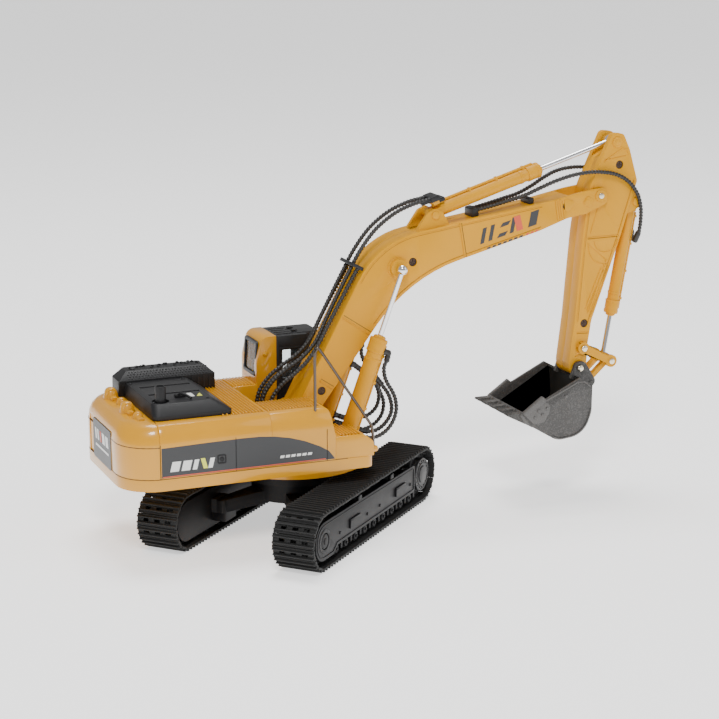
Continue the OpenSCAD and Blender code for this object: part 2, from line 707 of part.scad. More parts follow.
// Chrome rod from inside the barrel to its head eye
module rod(foot, head, start, eye_r, eye_w, bore) {
    reach = norm(head - foot);
    along(foot, head) difference() {
        union() {
            translate([0, 0, start]) cylinder(r = rod_r, h = reach - start - eye_r * 0.5);
            rotate([90, 0, 0]) translate([0, reach, -eye_w / 2]) cylinder(r = eye_r, h = eye_w);
        }
        rotate([90, 0, 0]) translate([0, reach, -eye_w]) cylinder(r = bore, h = eye_w * 2);
    }
}

// Elbow fitting of a hose, facing the front of a boom cylinder's barrel
module elbow(axial, y, reach) {
    along(boom_cylinder_foot, boom_cylinder_head)
        translate([1.6, y, axial]) rotate([0, 90, 0]) cylinder(r = 1, h = reach - 1.6);
}

module boom_barrel(side) {
    color("goldenrod") placed() translate([0, side * boom_cyl_y, 0]) {
        barrel(boom_cylinder_foot, boom_cylinder_head, boom_barrel_r, boom_barrel_len, 2.4, 1);
        elbow(38, side * 1.2, 5.2);
        elbow(28, -side * 1.2, 4.6);
        elbow(5, side * 1.2, 4.2);
        elbow(8, -side * 1.2, 4.2);
    }
}

module boom_rod(side) {
    reach = norm(boom_cylinder_head - boom_cylinder_foot);
    color("silver") placed() translate([0, side * boom_cyl_y, 0]) difference() {
        union() {
            along(boom_cylinder_foot, boom_cylinder_head)
                translate([0, 0, 16]) cylinder(r = rod_r, h = reach - 17);
            translate([boom_cylinder_head.x, 0, boom_cylinder_head.y]) sphere(r = 1.95);
        }
        scale([1, side, 1]) pin(boom_cylinder_head, 1.6, -4, -0.4);
    }
}

module boom_barrel_right() { boom_barrel(-1); }
module boom_barrel_left() { boom_barrel(1); }
module boom_rod_right() { boom_rod(-1); }
module boom_rod_left() { boom_rod(1); }

module arm_barrel() {
    color("goldenrod") placed() {
        barrel(arm_cylinder_foot, arm_cylinder_head, slim_barrel_r, 46, 6.2, -1);
        along(arm_cylinder_foot, arm_cylinder_head) block([-6.2, -3.6, 1], [-3.2, 3.6, 3.4]);
        along(arm_cylinder_foot, arm_cylinder_head) block([-3.4, -1, 1.6], [0, 1, 6]);
    }
}

module arm_rod() {
    color("silver") placed() rod(arm_cylinder_foot, arm_cylinder_head, 20, 2.3, 4.8, 1.85);
}

module bucket_barrel() {
    color("goldenrod") placed() barrel(bucket_cylinder_foot, link_pivot, 2.3, 44, 5.4, -1);
}

module bucket_rod() {
    color("silver") placed() rod(bucket_cylinder_foot, link_pivot, 20, 2.3, 3.6, 1.9);
}

// ---------- bucket linkage ----------

module guide_links() {
    half_links = 5.6;
    color("goldenrod") placed() both() difference() {
        union() {
            pin(guide_pivot, 2.3, half_links, half_links + 1.5);
            pin(link_pivot, 2.35, half_links, half_links + 1.5);
            along(guide_pivot, link_pivot) block([-1.5, half_links, 1.3],
                [1.5, half_links + 1.5, norm(link_pivot - guide_pivot) - 1.3]);
        }
        pin(guide_pivot, bore_r, 5, 8);
        pin(link_pivot, pin_r, 5, 8);
    }
}

module link_pin() {
    color("silver") placed() pin(link_pivot, pin_r, -7.4, 7.4);
}

module bucket_link() {
    color("goldenrod") placed() difference() {
        union() {
            along(bucket_link_pivot, link_pivot) block([-1, -4.4, 1.7],
                [1, 4.4, norm(link_pivot - bucket_link_pivot) - 1.2]);
            pin(link_pivot, 2, -4.4, 4.4);
            pin(bucket_link_pivot, 1.9, -4.4, 4.4);
        }
        pin(link_pivot, 3, -2.3, 2.3);
        along(bucket_link_pivot, link_pivot) block([-3, -2.3, 4.2], [3, 2.3, 14]);
        pin(link_pivot, bore_r, -8, 8);
        pin(bucket_link_pivot, bore_r + 0.55, -8, 8);
    }
}

bucket_side = [[110.4, 47.6, 0.6], [115.7, 44.6, 1.2], [115.6, 34, 8], [112.6, 25.4, 9], [101.2, 24.2, 8],
    [90, 31, 3],
    [86.2, 35.8, 0.3]];
bucket_inside = [[109.4, 49.6, 0], [113.6, 45, 1], [113.8, 34.6, 7], [111.6, 27.2, 7.6], [101.4, 26, 7],
    [90.8, 32.6, 3],
    [84.4, 39.2, 0]];

module bucket() {
    half_b = bucket_w / 2;
    color("dimgray") placed() difference() {
        union() {
            difference() {
                slab(bucket_side, -half_b, half_b);
                slab(bucket_inside, -half_b + 1.1, half_b - 1.1);
            }
            both() slab([[96.4, 40.4, 0], [94.6, 41.8, 0.3], [86.4, 36, 0], [89, 35, 0]],
                half_b - 1.1, half_b);
            for (i = [-2 : 2]) slab([[89.6, 33.4, 0], [87.8, 31.8, 0.3], [80.4, 35.6, 0.2],
                [80.7, 36.2, 0.2], [87.4, 36.2, 0.3]],
                i * 6.4 - 1.5, i * 6.4 + 1.5);
            both() slab([[110.6, 45.6, 0], [115.8, 43.4, 0], [121.2, 41.2, 1.6], [121, 44.4, 1.6],
                [116.4, 51.8, 2.2],
                [112.6, 51.6, 2.2]], 5.6, 7.2);
            both() for (p = [[96.5, 37.2], [92.9, 36.7], [94.6, 35], [91.4, 34.2], [104.4, 41.2]])
                pin(p, 0.45, half_b - 0.2, half_b + 0.25);
            both() slab([[90.4, 31.6, 0], [87, 35.6, 0], [109.9, 46.8, 0], [114.8, 44, 0],
                [112.6, 41.6, 0]], half_b - 0.1, half_b + 0.2);
        }
        both() pin(bucket_pivot, bore_r, 5, 8);
        both() pin(bucket_link_pivot, pin_r, 5, 8);
    }
    color("silver") placed() pin(bucket_link_pivot, pin_r, -7.5, 7.5);
}

// ---------- hoses ----------

module long_hose_right() { color("black") placed() hose(flat_route(long_hose_route, -hose_y), hose_r); }
module long_hose_left() { color("black") placed() hose(flat_route(long_hose_route, hose_y), hose_r); }
module short_hose_right() { color("black") placed() hose(flat_route(short_hose_route, -hose_y - 2), hose_r); }
module short_hose_left() { color("black") placed() hose(flat_route(short_hose_route, hose_y + 2), hose_r); }

function arm_route(side) = [for (p = arm_hose_route) [p[0], side * p[1], p[2]]];

module arm_hose_right() { color("black") placed() hose(arm_route(-1), hose_r); }
module arm_hose_left() { color("black") placed() hose(arm_route(1), hose_r); }

module loop_hoses(side, outer_loop, inner_loop) {
    color("black") placed() {
        hose(flat_route(outer_loop, side * (boom_cyl_y + 1.2)), hose_r);
        hose(flat_route(inner_loop, side * (boom_cyl_y - 1.2)), hose_r);
    }
}

module loop_hoses_right() { loop_hoses(-1, outer_loop_right, inner_loop_right); }
module loop_hoses_left() { loop_hoses(1, outer_loop_left, inner_loop_left); }

car_body();
track_frame_right();
track_frame_left();
track_chain_right();
track_chain_left();
sprocket_right();
sprocket_left();
idler_right();
idler_left();
wheel_axles();
frame_screws();
house_deck();
slew_screw();
counterweight();
engine_housing();
right_cover();
left_cover();
front_step();
engine_cover();
grille_box();
exhaust_pipe();
cab_rear_shell();
cab_frame();
cab_windshield();
cab_seat();
handrail();
boom_foot_pin();
boom_cylinder_foot_pins();
boom_right_half();
boom_left_half();
boom_screws();
boom_pins();
hose_clamps();
boom_barrel_right();
boom_barrel_left();
boom_rod_right();
boom_rod_left();
arm_right_half();
arm_left_half();
arm_screws();
arm_pins();
arm_barrel();
arm_rod();
bucket_barrel();
bucket_rod();
guide_links();
link_pin();
bucket_link();
bucket();
long_hose_right();
long_hose_left();
short_hose_right();
short_hose_left();
arm_hose_right();
arm_hose_left();
loop_hoses_right();
loop_hoses_left();
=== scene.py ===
"""Looks of the toy excavator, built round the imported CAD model.

Lengths in this script are millimetres in the house's own frame: X forward from the slew axis, Y to the
machine's left, Z up from the floor. They become metres in the row's frame when a piece is made.
"""
import json
import math
from itertools import groupby

import bmesh
import bpy
from mathutils import Matrix, Vector


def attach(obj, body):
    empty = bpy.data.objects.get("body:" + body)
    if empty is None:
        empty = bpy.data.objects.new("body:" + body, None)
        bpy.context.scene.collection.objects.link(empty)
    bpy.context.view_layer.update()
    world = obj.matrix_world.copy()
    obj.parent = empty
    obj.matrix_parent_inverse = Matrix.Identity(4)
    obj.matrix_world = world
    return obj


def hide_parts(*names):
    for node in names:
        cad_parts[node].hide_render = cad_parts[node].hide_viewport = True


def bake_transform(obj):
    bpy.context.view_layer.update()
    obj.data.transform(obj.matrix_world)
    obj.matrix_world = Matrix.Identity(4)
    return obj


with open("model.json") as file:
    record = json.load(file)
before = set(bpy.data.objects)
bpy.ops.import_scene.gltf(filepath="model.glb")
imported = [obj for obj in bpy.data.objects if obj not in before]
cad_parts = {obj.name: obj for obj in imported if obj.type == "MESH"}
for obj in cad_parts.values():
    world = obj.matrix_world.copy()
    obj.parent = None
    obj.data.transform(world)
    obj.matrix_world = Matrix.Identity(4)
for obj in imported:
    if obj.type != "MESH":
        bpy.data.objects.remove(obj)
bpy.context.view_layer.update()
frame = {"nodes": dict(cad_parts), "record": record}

MM = 0.001
SIDES = ((-1, "right"), (1, "left"))
JOINTS = {j["name"]: j for j in frame["record"]["behaviour"]["joints"]}
ORIGIN_X = -JOINTS["slew"]["pos_m"][0] / MM
SPIN = JOINTS["right_sprocket_spin"]["axis"]
SWING = math.atan2(-SPIN[0], SPIN[1])

HOUSE = Matrix.Translation((-ORIGIN_X, 0, 0))
TRACKS = HOUSE @ Matrix.Rotation(SWING, 4, "Z")


def pivot(joint):
    """A joint's place as (x, z) in the house's frame."""
    x, _, z = JOINTS[joint]["pos_m"]
    return (x / MM + ORIGIN_X, z / MM)


TIP = pivot("arm_swing")
BUCKET_PIN = pivot("bucket_curl")
GUIDE_PIN = pivot("guide_link_swing")
LINK_PIN = pivot("tipping_link_swing")
BOOM_CYL = pivot("right_boom_cylinder_tilt")
ARM_CYL = pivot("arm_cylinder_tilt")
BUCKET_CYL = pivot("bucket_cylinder_tilt")
BOOM_CYL_HEAD = (38.6, 93.8)
ARM_CYL_HEAD = (128.8, 134.6)
BOOM_CYL_Y = 11.4
BOOM_HALF = 6.9
ARM_HALF = 5.3

# ---------------------------------------------------------------- camera, floor and light

AZIMUTH = math.radians(-22.46)
ELEVATION = math.radians(13.66)
DISTANCE = 739.4
FOCAL_PX = 2007.9
FRAME_PX = 719
AIM_RIGHT = 24.6
AIM_UP = 59.95
SENSOR = 36
FLOOR_HALF = 12


def linked(name, data):
    obj = bpy.data.objects.new(name, data)
    bpy.context.collection.objects.link(obj)
    return obj


def point_at(obj, direction):
    obj.rotation_mode = "QUATERNION"
    obj.rotation_quaternion = direction.to_track_quat("-Z", "Y")


def make_camera():
    level = math.cos(ELEVATION)
    back = Vector((math.sin(AZIMUTH) * level, -math.cos(AZIMUTH) * level, math.sin(ELEVATION)))
    right = (-back).cross(Vector((0, 0, 1))).normalized()
    up = right.cross(-back)
    aim = HOUSE @ Vector((0, 0, 0)) + AIM_RIGHT * right + AIM_UP * up
    data = bpy.data.cameras.new("camera")
    data.sensor_width = SENSOR
    data.lens = FOCAL_PX / FRAME_PX * SENSOR
    data.clip_start = 0.01
    data.clip_end = 20
    cam = linked("camera", data)
    cam.location = (aim + back * DISTANCE) * MM
    point_at(cam, -back)
    bpy.context.scene.camera = cam


def area_light(name, place, target, size, power):
    data = bpy.data.lights.new(name, "AREA")
    data.shape = "DISK"
    data.size = size
    data.energy = power
    light = linked(name, data)
    light.location = place
    point_at(light, Vector(target) - Vector(place))


def mesh_from(bm, name):
    mesh = bpy.data.meshes.new(name)
    bm.to_mesh(mesh)
    bm.free()
    return mesh


def settle(node, values):
    """Give a shader node's inputs their values."""
    for key, value in values.items():
        node.inputs[key].default_value = value


def make_stage():
    bm = bmesh.new()
    bmesh.ops.create_grid(bm, x_segments=1, y_segments=1, size=FLOOR_HALF)
    floor = linked("floor", mesh_from(bm, "floor"))
    mat = bpy.data.materials.new("floor_paper")
    mat.use_nodes = True
    settle(mat.node_tree.nodes["Principled BSDF"], {
        "Base Color": (0.98, 0.98, 0.98, 1), "Roughness": 0.75, "Specular IOR Level": 0.2,
        "Emission Color": (1, 1, 1, 1), "Emission Strength": 0.85})
    floor.data.materials.append(mat)
    world = bpy.data.worlds.new("studio")
    world.use_nodes = True
    settle(world.node_tree.nodes["Background"], {"Color": (1, 1, 1, 1), "Strength": 0.42})
    bpy.context.scene.world = world
    area_light("key", (-0.35, -0.75, 0.95), (0, 0, 0.05), 0.3, 8)
    area_light("fill", (0.9, -0.6, 0.6), (0, 0, 0.06), 0.8, 2)
    area_light("top", (0.05, 0.25, 1.1), (0, 0, 0.05), 0.5, 8)


make_camera()
make_stage()

# ---------------------------------------------------------------- materials

MATS = {}
BUMP_DEPTH = 0.0001
DRIFT_SCALE = 60
GLOSS_SCALE = 240


def nodes_of(name):
    mat = MATS[name] = bpy.data.materials.new(name)
    mat.use_nodes = True
    tree = mat.node_tree
    return tree.nodes, tree.links, tree.nodes["Principled BSDF"]


def noise(nodes, links, coord, scale, detail=3, rough=0.55):
    tex = nodes.new("ShaderNodeTexNoise")
    settle(tex, {"Scale": scale, "Detail": detail, "Roughness": rough})
    links.new(coord.outputs["Object"], tex.inputs["Vector"])
    return tex


def ramp(nodes, links, source, stops):
    node = nodes.new("ShaderNodeValToRGB")
    while len(node.color_ramp.elements) < len(stops):
        node.color_ramp.elements.new(0.5)
    for element, (place, colour) in zip(node.color_ramp.elements, stops):
        element.position = place
        element.color = (*colour, 1)
    links.new(source, node.inputs["Fac"])
    return node


def uneven_gloss(nodes, links, coord, shader, scale, low, high):
    """Roughness that wanders between low and high."""
    gloss = noise(nodes, links, coord, scale)
    spread = nodes.new("ShaderNodeMapRange")
    settle(spread, {"To Min": low, "To Max": high})
    links.new(gloss.outputs["Fac"], spread.inputs["Value"])
    links.new(spread.outputs["Result"], shader.inputs["Roughness"])


def moulded(name, colour, rough, grain, bump, drift=0.06, specular=0.5, coat=0.0, coat_rough=0.1, metallic=0.0,
            rough_drift=0.05, edge=0.0, fleck_and_highlight_colour=(1, 1, 1), flecks=0.0):
    """Moulded or painted surface: fine grain, slow drift of tone, uneven gloss, pale flecks and edges lightened as
    painted highlight.
    """
    nodes, links, shader = nodes_of(name)
    coord = nodes.new("ShaderNodeTexCoord")
    slow = noise(nodes, links, coord, DRIFT_SCALE, 2)
    dark = tuple(c * (1 - drift) for c in colour)
    light = tuple(min(1, c * (1 + drift)) for c in colour)
    tone = ramp(nodes, links, slow.outputs["Fac"], [(0.3, dark), (0.7, light)])
    fine = noise(nodes, links, coord, grain, 4, 0.6)
    out = tone.outputs["Color"]
    masks = []
    if flecks:
        masks.append((fine.outputs["Fac"], 0.48, 0.62, flecks))
    # painted highlight: convex edges, found by pointiness, are mixed towards the pale colour
    if edge:
        masks.append((nodes.new("ShaderNodeNewGeometry").outputs["Pointiness"], 0.52, 0.6, edge))
    for source, low, high, amount in masks:
        mask = ramp(nodes, links, source, [(low, (0, 0, 0)), (high, (amount, amount, amount))])
        mix = nodes.new("ShaderNodeMix")
        mix.data_type = "RGBA"
        links.new(mask.outputs["Color"], mix.inputs["Factor"])
        links.new(out, mix.inputs["A"])
        mix.inputs["B"].default_value = (*fleck_and_highlight_colour, 1)
        out = mix.outputs["Result"]
    links.new(out, shader.inputs["Base Color"])
    uneven_gloss(nodes, links, coord, shader, GLOSS_SCALE, max(0.02, rough - rough_drift), rough + rough_drift)
    bumps = nodes.new("ShaderNodeBump")
    settle(bumps, {"Strength": bump, "Distance": BUMP_DEPTH})
    links.new(fine.outputs["Fac"], bumps.inputs["Height"])
    links.new(bumps.outputs["Normal"], shader.inputs["Normal"])
    settle(shader, {"Metallic": metallic, "Specular IOR Level": specular, "Coat Weight": coat,
                    "Coat Roughness": coat_rough})


moulded("house_yellow", (0.68, 0.305, 0.0005), 0.3, 1500, 0.08, 0.03, specular=0.35, coat=0.6, coat_rough=0.06)
moulded("boom_yellow", (0.68, 0.31, 0.0008), 0.42, 2200, 0.14, 0.04, specular=0.25)
# edge lightens the convex edges of these black and grey parts: painted highlight
moulded("cover_black", (0.009, 0.009, 0.01), 0.45, 2600, 0.22, 0.15, specular=0.35, edge=0.2,
        fleck_and_highlight_colour=(0.06, 0.06, 0.06))
moulded("undercarriage_black", (0.005, 0.005, 0.006), 0.46, 1800, 0.15, 0.15, specular=0.2, edge=0.15,
        fleck_and_highlight_colour=(0.05, 0.05, 0.05))
moulded("track_black", (0.007, 0.007, 0.007), 0.6, 3200, 0.35, 0.2, specular=0.22, edge=0.4,
        fleck_and_highlight_colour=(0.05, 0.05, 0.05))
moulded("wheel_grey", (0.02, 0.02, 0.021), 0.42, 1800, 0.15, 0.1, specular=0.4, edge=0.3, fleck_and_highlight_colour=(0.1, 0.1, 0.1))
moulded("hose_black", (0.013, 0.012, 0.011), 0.4, 2500, 0.2, 0.15, edge=0.3, fleck_and_highlight_colour=(0.07, 0.065, 0.06))
moulded("bucket_grey", (0.052, 0.05, 0.048), 0.5, 1900, 1.0, 0.2, metallic=0.15, rough_drift=0.15,
        fleck_and_highlight_colour=(0.2, 0.19, 0.18), flecks=0.28)
# painted highlight: a lighter copy of the bucket's grey for its rims, bolts and tooth shrouds
moulded("bucket_rim_highlight", (0.1, 0.096, 0.092), 0.45, 1900, 0.8, 0.15, metallic=0.2, rough_drift=0.12,
        fleck_and_highlight_colour=(0.26, 0.25, 0.24), flecks=0.2)
moulded("bucket_inside", (0.02, 0.02, 0.018), 0.6, 1500, 0.6, 0.2)
moulded("chrome", (0.86, 0.86, 0.87), 0.12, 900, 0.02, 0.02, metallic=1.0, rough_drift=0.04)
moulded("pin_metal", (0.85, 0.78, 0.6), 0.24, 900, 0.06, 0.05, metallic=1.0)
moulded("dark_screw", (0.03, 0.016, 0.011), 0.4, 1500, 0.2, 0.2, metallic=0.6, edge=0.4,
        fleck_and_highlight_colour=(0.14, 0.09, 0.06))
moulded("rail_steel", (0.11, 0.09, 0.075), 0.28, 1400, 0.06, 0.12, metallic=0.9)
moulded("decal_grey", (0.032, 0.033, 0.035), 0.38, 3000, 0.04, 0.05)
moulded("decal_white", (0.82, 0.82, 0.8), 0.4, 3000, 0.04, 0.02)
moulded("decal_red", (0.66, 0.09, 0.03), 0.38, 3000, 0.04, 0.04)
moulded("decal_lime", (0.75, 0.76, 0.08), 0.38, 3000, 0.04, 0.04)
# painted shade: darker yellow laid under the roof ribs and inside the rims of the boom and the arm
moulded("groove", (0.36, 0.15, 0.001), 0.55, 2000, 0.1, 0.1, specular=0.2)
moulded("seam", (0.05, 0.02, 0.005), 0.7, 2000, 0.1, 0.1)


def make_glass():
    nodes, links, shader = nodes_of("window")
    uneven_gloss(nodes, links, nodes.new("ShaderNodeTexCoord"), shader, 180, 0.02, 0.1)
    settle(shader, {"Base Color": (0.9, 0.94, 0.95, 1), "Transmission Weight": 0.97, "IOR": 1.12})


make_glass()

# ---------------------------------------------------------------- outlines


def corner(a, b, c, r, steps):
    """The arc that rounds the corner at b, between a and c."""
    a, b, c = Vector(a), Vector(b), Vector(c)
    if r == 0:
        return [tuple(b)]
    u, v = (a - b).normalized(), (c - b).normalized()
    half = u.angle(v) / 2
    centre = b + (u + v).normalized() * (r / math.sin(half))
    p, q = b + u * (r / math.tan(half)) - centre, b + v * (r / math.tan(half)) - centre
    start = math.atan2(p.y, p.x)
    turn = (math.atan2(q.y, q.x) - start + 3 * math.pi) % (2 * math.pi) - math.pi
    angles = [start + turn * i / steps for i in range(steps + 1)]
    return [(centre.x + r * math.cos(t), centre.y + r * math.sin(t)) for t in angles]


def rounded(corners, steps=10):
    """Closed outline through (x, y, radius) corners."""
    k = len(corners)
    out = []
    for i in range(k):
        out += corner(corners[i - 1][:2], corners[i][:2], corners[(i + 1) % k][:2], corners[i][2], steps)
    return out


def bar(x, foot, top, z0, z1):
    """Section of a raised bar: its half widths at the foot and the top."""
    return [(x - foot, z0), (x + foot, z0), (x + top, z1), (x - top, z1)]


def slant(x, z, wide, high, lean=1.1, rise=0.26):
    """A leaning bar from (x, z); its base climbs by rise for each mm along."""
    return [(x, z), (x + wide, z + wide * rise), (x + wide + lean, z + high + (wide + lean) * rise),
            (x + lean, z + high + lean * rise)]


def inset(points, d):
    """The outline moved inwards by d."""
    area = sum(p[0] * q[1] - q[0] * p[1] for p, q in zip(points, points[1:] + points[:1]))
    sign = 1 if area > 0 else -1
    out = []
    k = len(points)
    for i in range(k):
        a, b, c = Vector(points[i - 1]), Vector(points[i]), Vector(points[(i + 1) % k])
        u, v = (b - a).normalized(), (c - b).normalized()
        n1, n2 = Vector((-u.y, u.x)) * sign, Vector((-v.y, v.x)) * sign
        m = n1 + n2
        m = m / max(0.3, m.dot(n1)) if m.length > 1e-6 else n1
        out.append(tuple(b + m * d))
    return out


def along(pts, i):
    """Direction of a line of points at point i."""
    return (pts[min(i + 1, len(pts) - 1)] - pts[max(i - 1, 0)]).normalized()


def smooth_path(points, step):
    """A smooth curve through 3-D points, resampled at an even step, and its length."""
    pts = [Vector(p) for p in points]
    ext = [2 * pts[0] - pts[1]] + pts + [2 * pts[-1] - pts[-2]]
    dense = []
    for i in range(1, len(ext) - 2):
        p0, p1, p2, p3 = ext[i - 1:i + 3]
        for k in range(24):
            t = k / 24
            dense.append(0.5 * ((2 * p1) + (p2 - p0) * t + (2 * p0 - 5 * p1 + 4 * p2 - p3) * t ** 2
                                + (3 * p1 - p0 - 3 * p2 + p3) * t ** 3))
    dense.append(pts[-1])
    total = sum((b - a).length for a, b in zip(dense, dense[1:]))
    count = max(2, round(total / step))
    out, gone, i = [dense[0]], 0.0, 0
    for k in range(1, count):
        want = total * k / count
        while gone + (dense[i + 1] - dense[i]).length < want:
            gone += (dense[i + 1] - dense[i]).length
            i += 1
        seg = (dense[i + 1] - dense[i]).length
        out.append(dense[i].lerp(dense[i + 1], (want - gone) / seg))
    out.append(dense[-1])
    return out, total


# ---------------------------------------------------------------- mesh building


def circle(centre, u, v, r, sides):
    turns = (2 * math.pi * k / sides for k in range(sides))
    return [centre + (u * math.cos(t) + v * math.sin(t)) * r for t in turns]


class Kit:
    """Collects solids in one mesh, in millimetres of a local frame."""

    def __init__(self, place=HOUSE):
        self.bm = bmesh.new()
        self.place = place

    def prism(self, outline, y0, y1, matrix=Matrix.Identity(4)):
        """Outline in XZ, extruded along Y."""
        near = [self.bm.verts.new(matrix @ Vector((x, y0, z))) for x, z in outline]
        far = [self.bm.verts.new(matrix @ Vector((x, y1, z))) for x, z in outline]
        k = len(outline)
        faces = [self.bm.faces.new(near), self.bm.faces.new(far[::-1])]
        for i in range(k):
            faces.append(self.bm.faces.new((near[i], far[i], far[(i + 1) % k], near[(i + 1) % k])))
        bmesh.ops.recalc_face_normals(self.bm, faces=faces)
        return self

    def plan(self, outline, z0, z1):
        """Outline in XY, extruded up from z0 to z1."""
        return self.prism(outline, z0, z1, Matrix(((1, 0, 0, 0), (0, 0, 1, 0), (0, 1, 0, 0), (0, 0, 0, 1))))

    def box(self, lo, hi, matrix=Matrix.Identity(4), chamfer=0.0):
        x0, y0, z0 = lo
        x1, y1, z1 = hi
        if not chamfer:
            return self.prism([(x0, z0), (x1, z0), (x1, z1), (x0, z1)], y0, y1, matrix)
        c = chamfer      # of the two upper edges
        shape = [(x0, z0), (x1, z0), (x1, z1 - c), (x1 - c, z1), (x0 + c, z1), (x0, z1 - c)]
        return self.prism(shape, y0, y1, matrix)

    def boxes(self, *rows):
        """Boxes given as (low corner, high corner, chamfer)."""
        for lo, hi, chamfer in rows:
            self.box(lo, hi, chamfer=chamfer)

    def wall(self, outline, side, y0, y1):
        """Outline in XZ on one side of the machine, from y0 to y1 out from its middle."""
        return self.prism(outline, *sorted((side * y0, side * y1)))

    def frame(self, outline, width, depths):
        """Ring of the given width inside an outline in XZ: its outer foot and edge, and its inner edge and foot."""
        inner = inset(outline, width)
        loops = zip((outline, outline, inner, inner), depths)
        return self.loft([[(x, y, z) for x, z in loop] for loop, y in loops], ends="open")

    def loft(self, rings, ends="capped"):
        """Skin over rings of points. Its ends are capped, open or joined to each other."""
        rows = [[self.bm.verts.new(p) for p in ring] for ring in rings]
        k = len(rows[0])
        faces = []
        pairs = list(zip(rows, rows[1:]))
        if ends == "joined":
            pairs.append((rows[-1], rows[0]))
        for a, b in pairs:
            for i in range(k):
                faces.append(self.bm.faces.new((a[i], a[(i + 1) % k], b[(i + 1) % k], b[i])))
        if ends == "capped":
            faces += [self.bm.faces.new(rows[0][::-1]), self.bm.faces.new(rows[-1])]
        bmesh.ops.recalc_face_normals(self.bm, faces=faces)
        return self

    def lathe(self, a, b, profile, sides=32):
        """Profile of (distance from a towards b, radius), turned about the line a-b and closed by flat caps."""
        a, b = Vector(a), Vector(b)
        axis = (b - a).normalized()
        side = axis.orthogonal().normalized()
        up = axis.cross(side)
        return self.loft([circle(a + axis * d, side, up, r, sides) for d, r in profile])

    def stud(self, p, side, y, profile, sides=24):
        """Profile turned about the Y line through (x, z), outwards from y on one side of the machine."""
        return self.lathe((p[0], side * y, p[1]), (p[0], side * (y + 1), p[1]), profile, sides)

    def disc(self, p, r, y0, y1, edge=0.12, sides=32, bore=0.0):
        """Round boss along Y at (x, z), with softened rims and, if asked, a bore."""
        a, b = Vector((p[0], y0, p[1])), Vector((p[0], y1, p[1]))
        length = abs(y1 - y0)
        profile = [(0, r), (length - edge, r), (length - edge * 0.3, r - edge * 0.3), (length, r - edge)]
        if not bore:
            return self.lathe(a, b, profile, sides)
        axis = (b - a).normalized()
        profile = [(0, bore)] + profile + [(length, bore)]
        rings = [circle(a + axis * d, Vector((1, 0, 0)), Vector((0, 0, 1)), rad, sides) for d, rad in profile]
        return self.loft(rings, ends="joined")

    def tube(self, points, radius, sides=12):
        """Round tube through 3-D points. radius is a number or a function of the distance along the tube."""
        pts = [Vector(p) for p in points]
        rings, gone = [], 0
        reference = along(pts, 0).orthogonal().normalized()
        for i, p in enumerate(pts):
            tangent = along(pts, i)
            if i:
                gone += (p - pts[i - 1]).length
            reference = (reference - tangent * reference.dot(tangent)).normalized()
            r = radius(gone) if callable(radius) else radius
            rings.append(circle(p, reference, tangent.cross(reference), r, sides))
        return self.loft(rings)

    def made(self, name, body, material, bevel=0.0, angle=35, segments=2, smooth=40):
        """The finished piece, riding on its body."""
        self.bm.transform(Matrix.Scale(MM, 4) @ self.place)
        obj = linked(name, mesh_from(self.bm, name))
        if bevel:
            soften_edges(obj, bevel, angle, segments)
        finish_mesh(obj, smooth)
        obj.data.materials.append(MATS[material])
        if body:
            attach(obj, body)
        return obj

    def piece(self, name, body, material, slot=None, **finish):
        """The finished piece. slot (its material's own one unless another is given) is not used."""
        obj = self.made(name, body, material, **finish)
        return obj


def soften_edges(obj, width, angle, segments):
    mod = obj.modifiers.new("bevel", "BEVEL")
    mod.width = width * MM
    mod.segments = segments
    mod.limit_method = "ANGLE"
    mod.angle_limit = math.radians(angle)
    mod.use_clamp_overlap = True
    mod.harden_normals = False
    graph = bpy.context.evaluated_depsgraph_get()
    mesh = bpy.data.meshes.new_from_object(obj.evaluated_get(graph))
    old = obj.data
    obj.modifiers.clear()
    obj.data = mesh
    bpy.data.meshes.remove(old)


def finish_mesh(obj, smooth=40):
    obj.data.polygons.foreach_set("use_smooth", [True] * len(obj.data.polygons))
    obj.data.set_sharp_from_angle(angle=math.radians(smooth))


PIN_HEAD = ((0, 1), (0.5, 1), (0.75, 0.82), (0.85, 0.4))


def pin_ends(name, body, material, ends):
    """Domed ends on both sides for each (place, distance out, radius)."""
    kit = Kit()
    for side in (-1, 1):
        for p, y, r in ends:
            kit.stud(p, side, y, [(d, r * part) for d, part in PIN_HEAD])
    kit.piece(name, body, material)


def softened(node, body, material, bevel=0.15, angle=28, segments=2, smooth=38):
    """The CAD node with its edges rounded, standing for the node."""
    bm = bmesh.new()
    bm.from_mesh(frame["nodes"][node].data)
    bmesh.ops.remove_doubles(bm, verts=bm.verts, dist=2e-6)
    bmesh.ops.dissolve_limit(bm, angle_limit=math.radians(1.5), verts=bm.verts, edges=bm.edges)
    obj = linked(node + "_skin", mesh_from(bm, node + "_skin"))
    obj.data.materials.clear()
    soften_edges(obj, bevel, angle, segments)
    finish_mesh(obj, smooth)
    obj.data.materials.append(MATS[material])
    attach(obj, body)
    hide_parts(node)
    return obj


def skins(body, material, bevels, **finish):
    for node, bevel in bevels.items():
        softened(node, body, material, bevel, **finish)


# ---------------------------------------------------------------- hoses (the cords)

HOSE_R = 0.84
RIB_PITCH = 1.3
RIB_DEPTH = 0.24
HOSE_STEP = 0.22


def ribbed(d):
    """Radius of the ribbed hose at distance d."""
    wave = 0.5 + 0.5 * math.cos(2 * math.pi * d / RIB_PITCH)
    return HOSE_R - RIB_DEPTH + RIB_DEPTH * wave ** 0.7


def hose(name, route, body, replaced=None, bend=None):
    """One ribbed hose on its body. bend is (body after, start, end) where it crosses a joint; only whether it is
    given is read, and a hose given one rides on no body.
    """
    path, length = smooth_path(route, HOSE_STEP)
    obj = Kit().tube(path, ribbed, 12).made(name, None if bend else body, "hose_black", smooth=70)
    if replaced:
        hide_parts(replaced)
    if bend:
        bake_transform(obj)


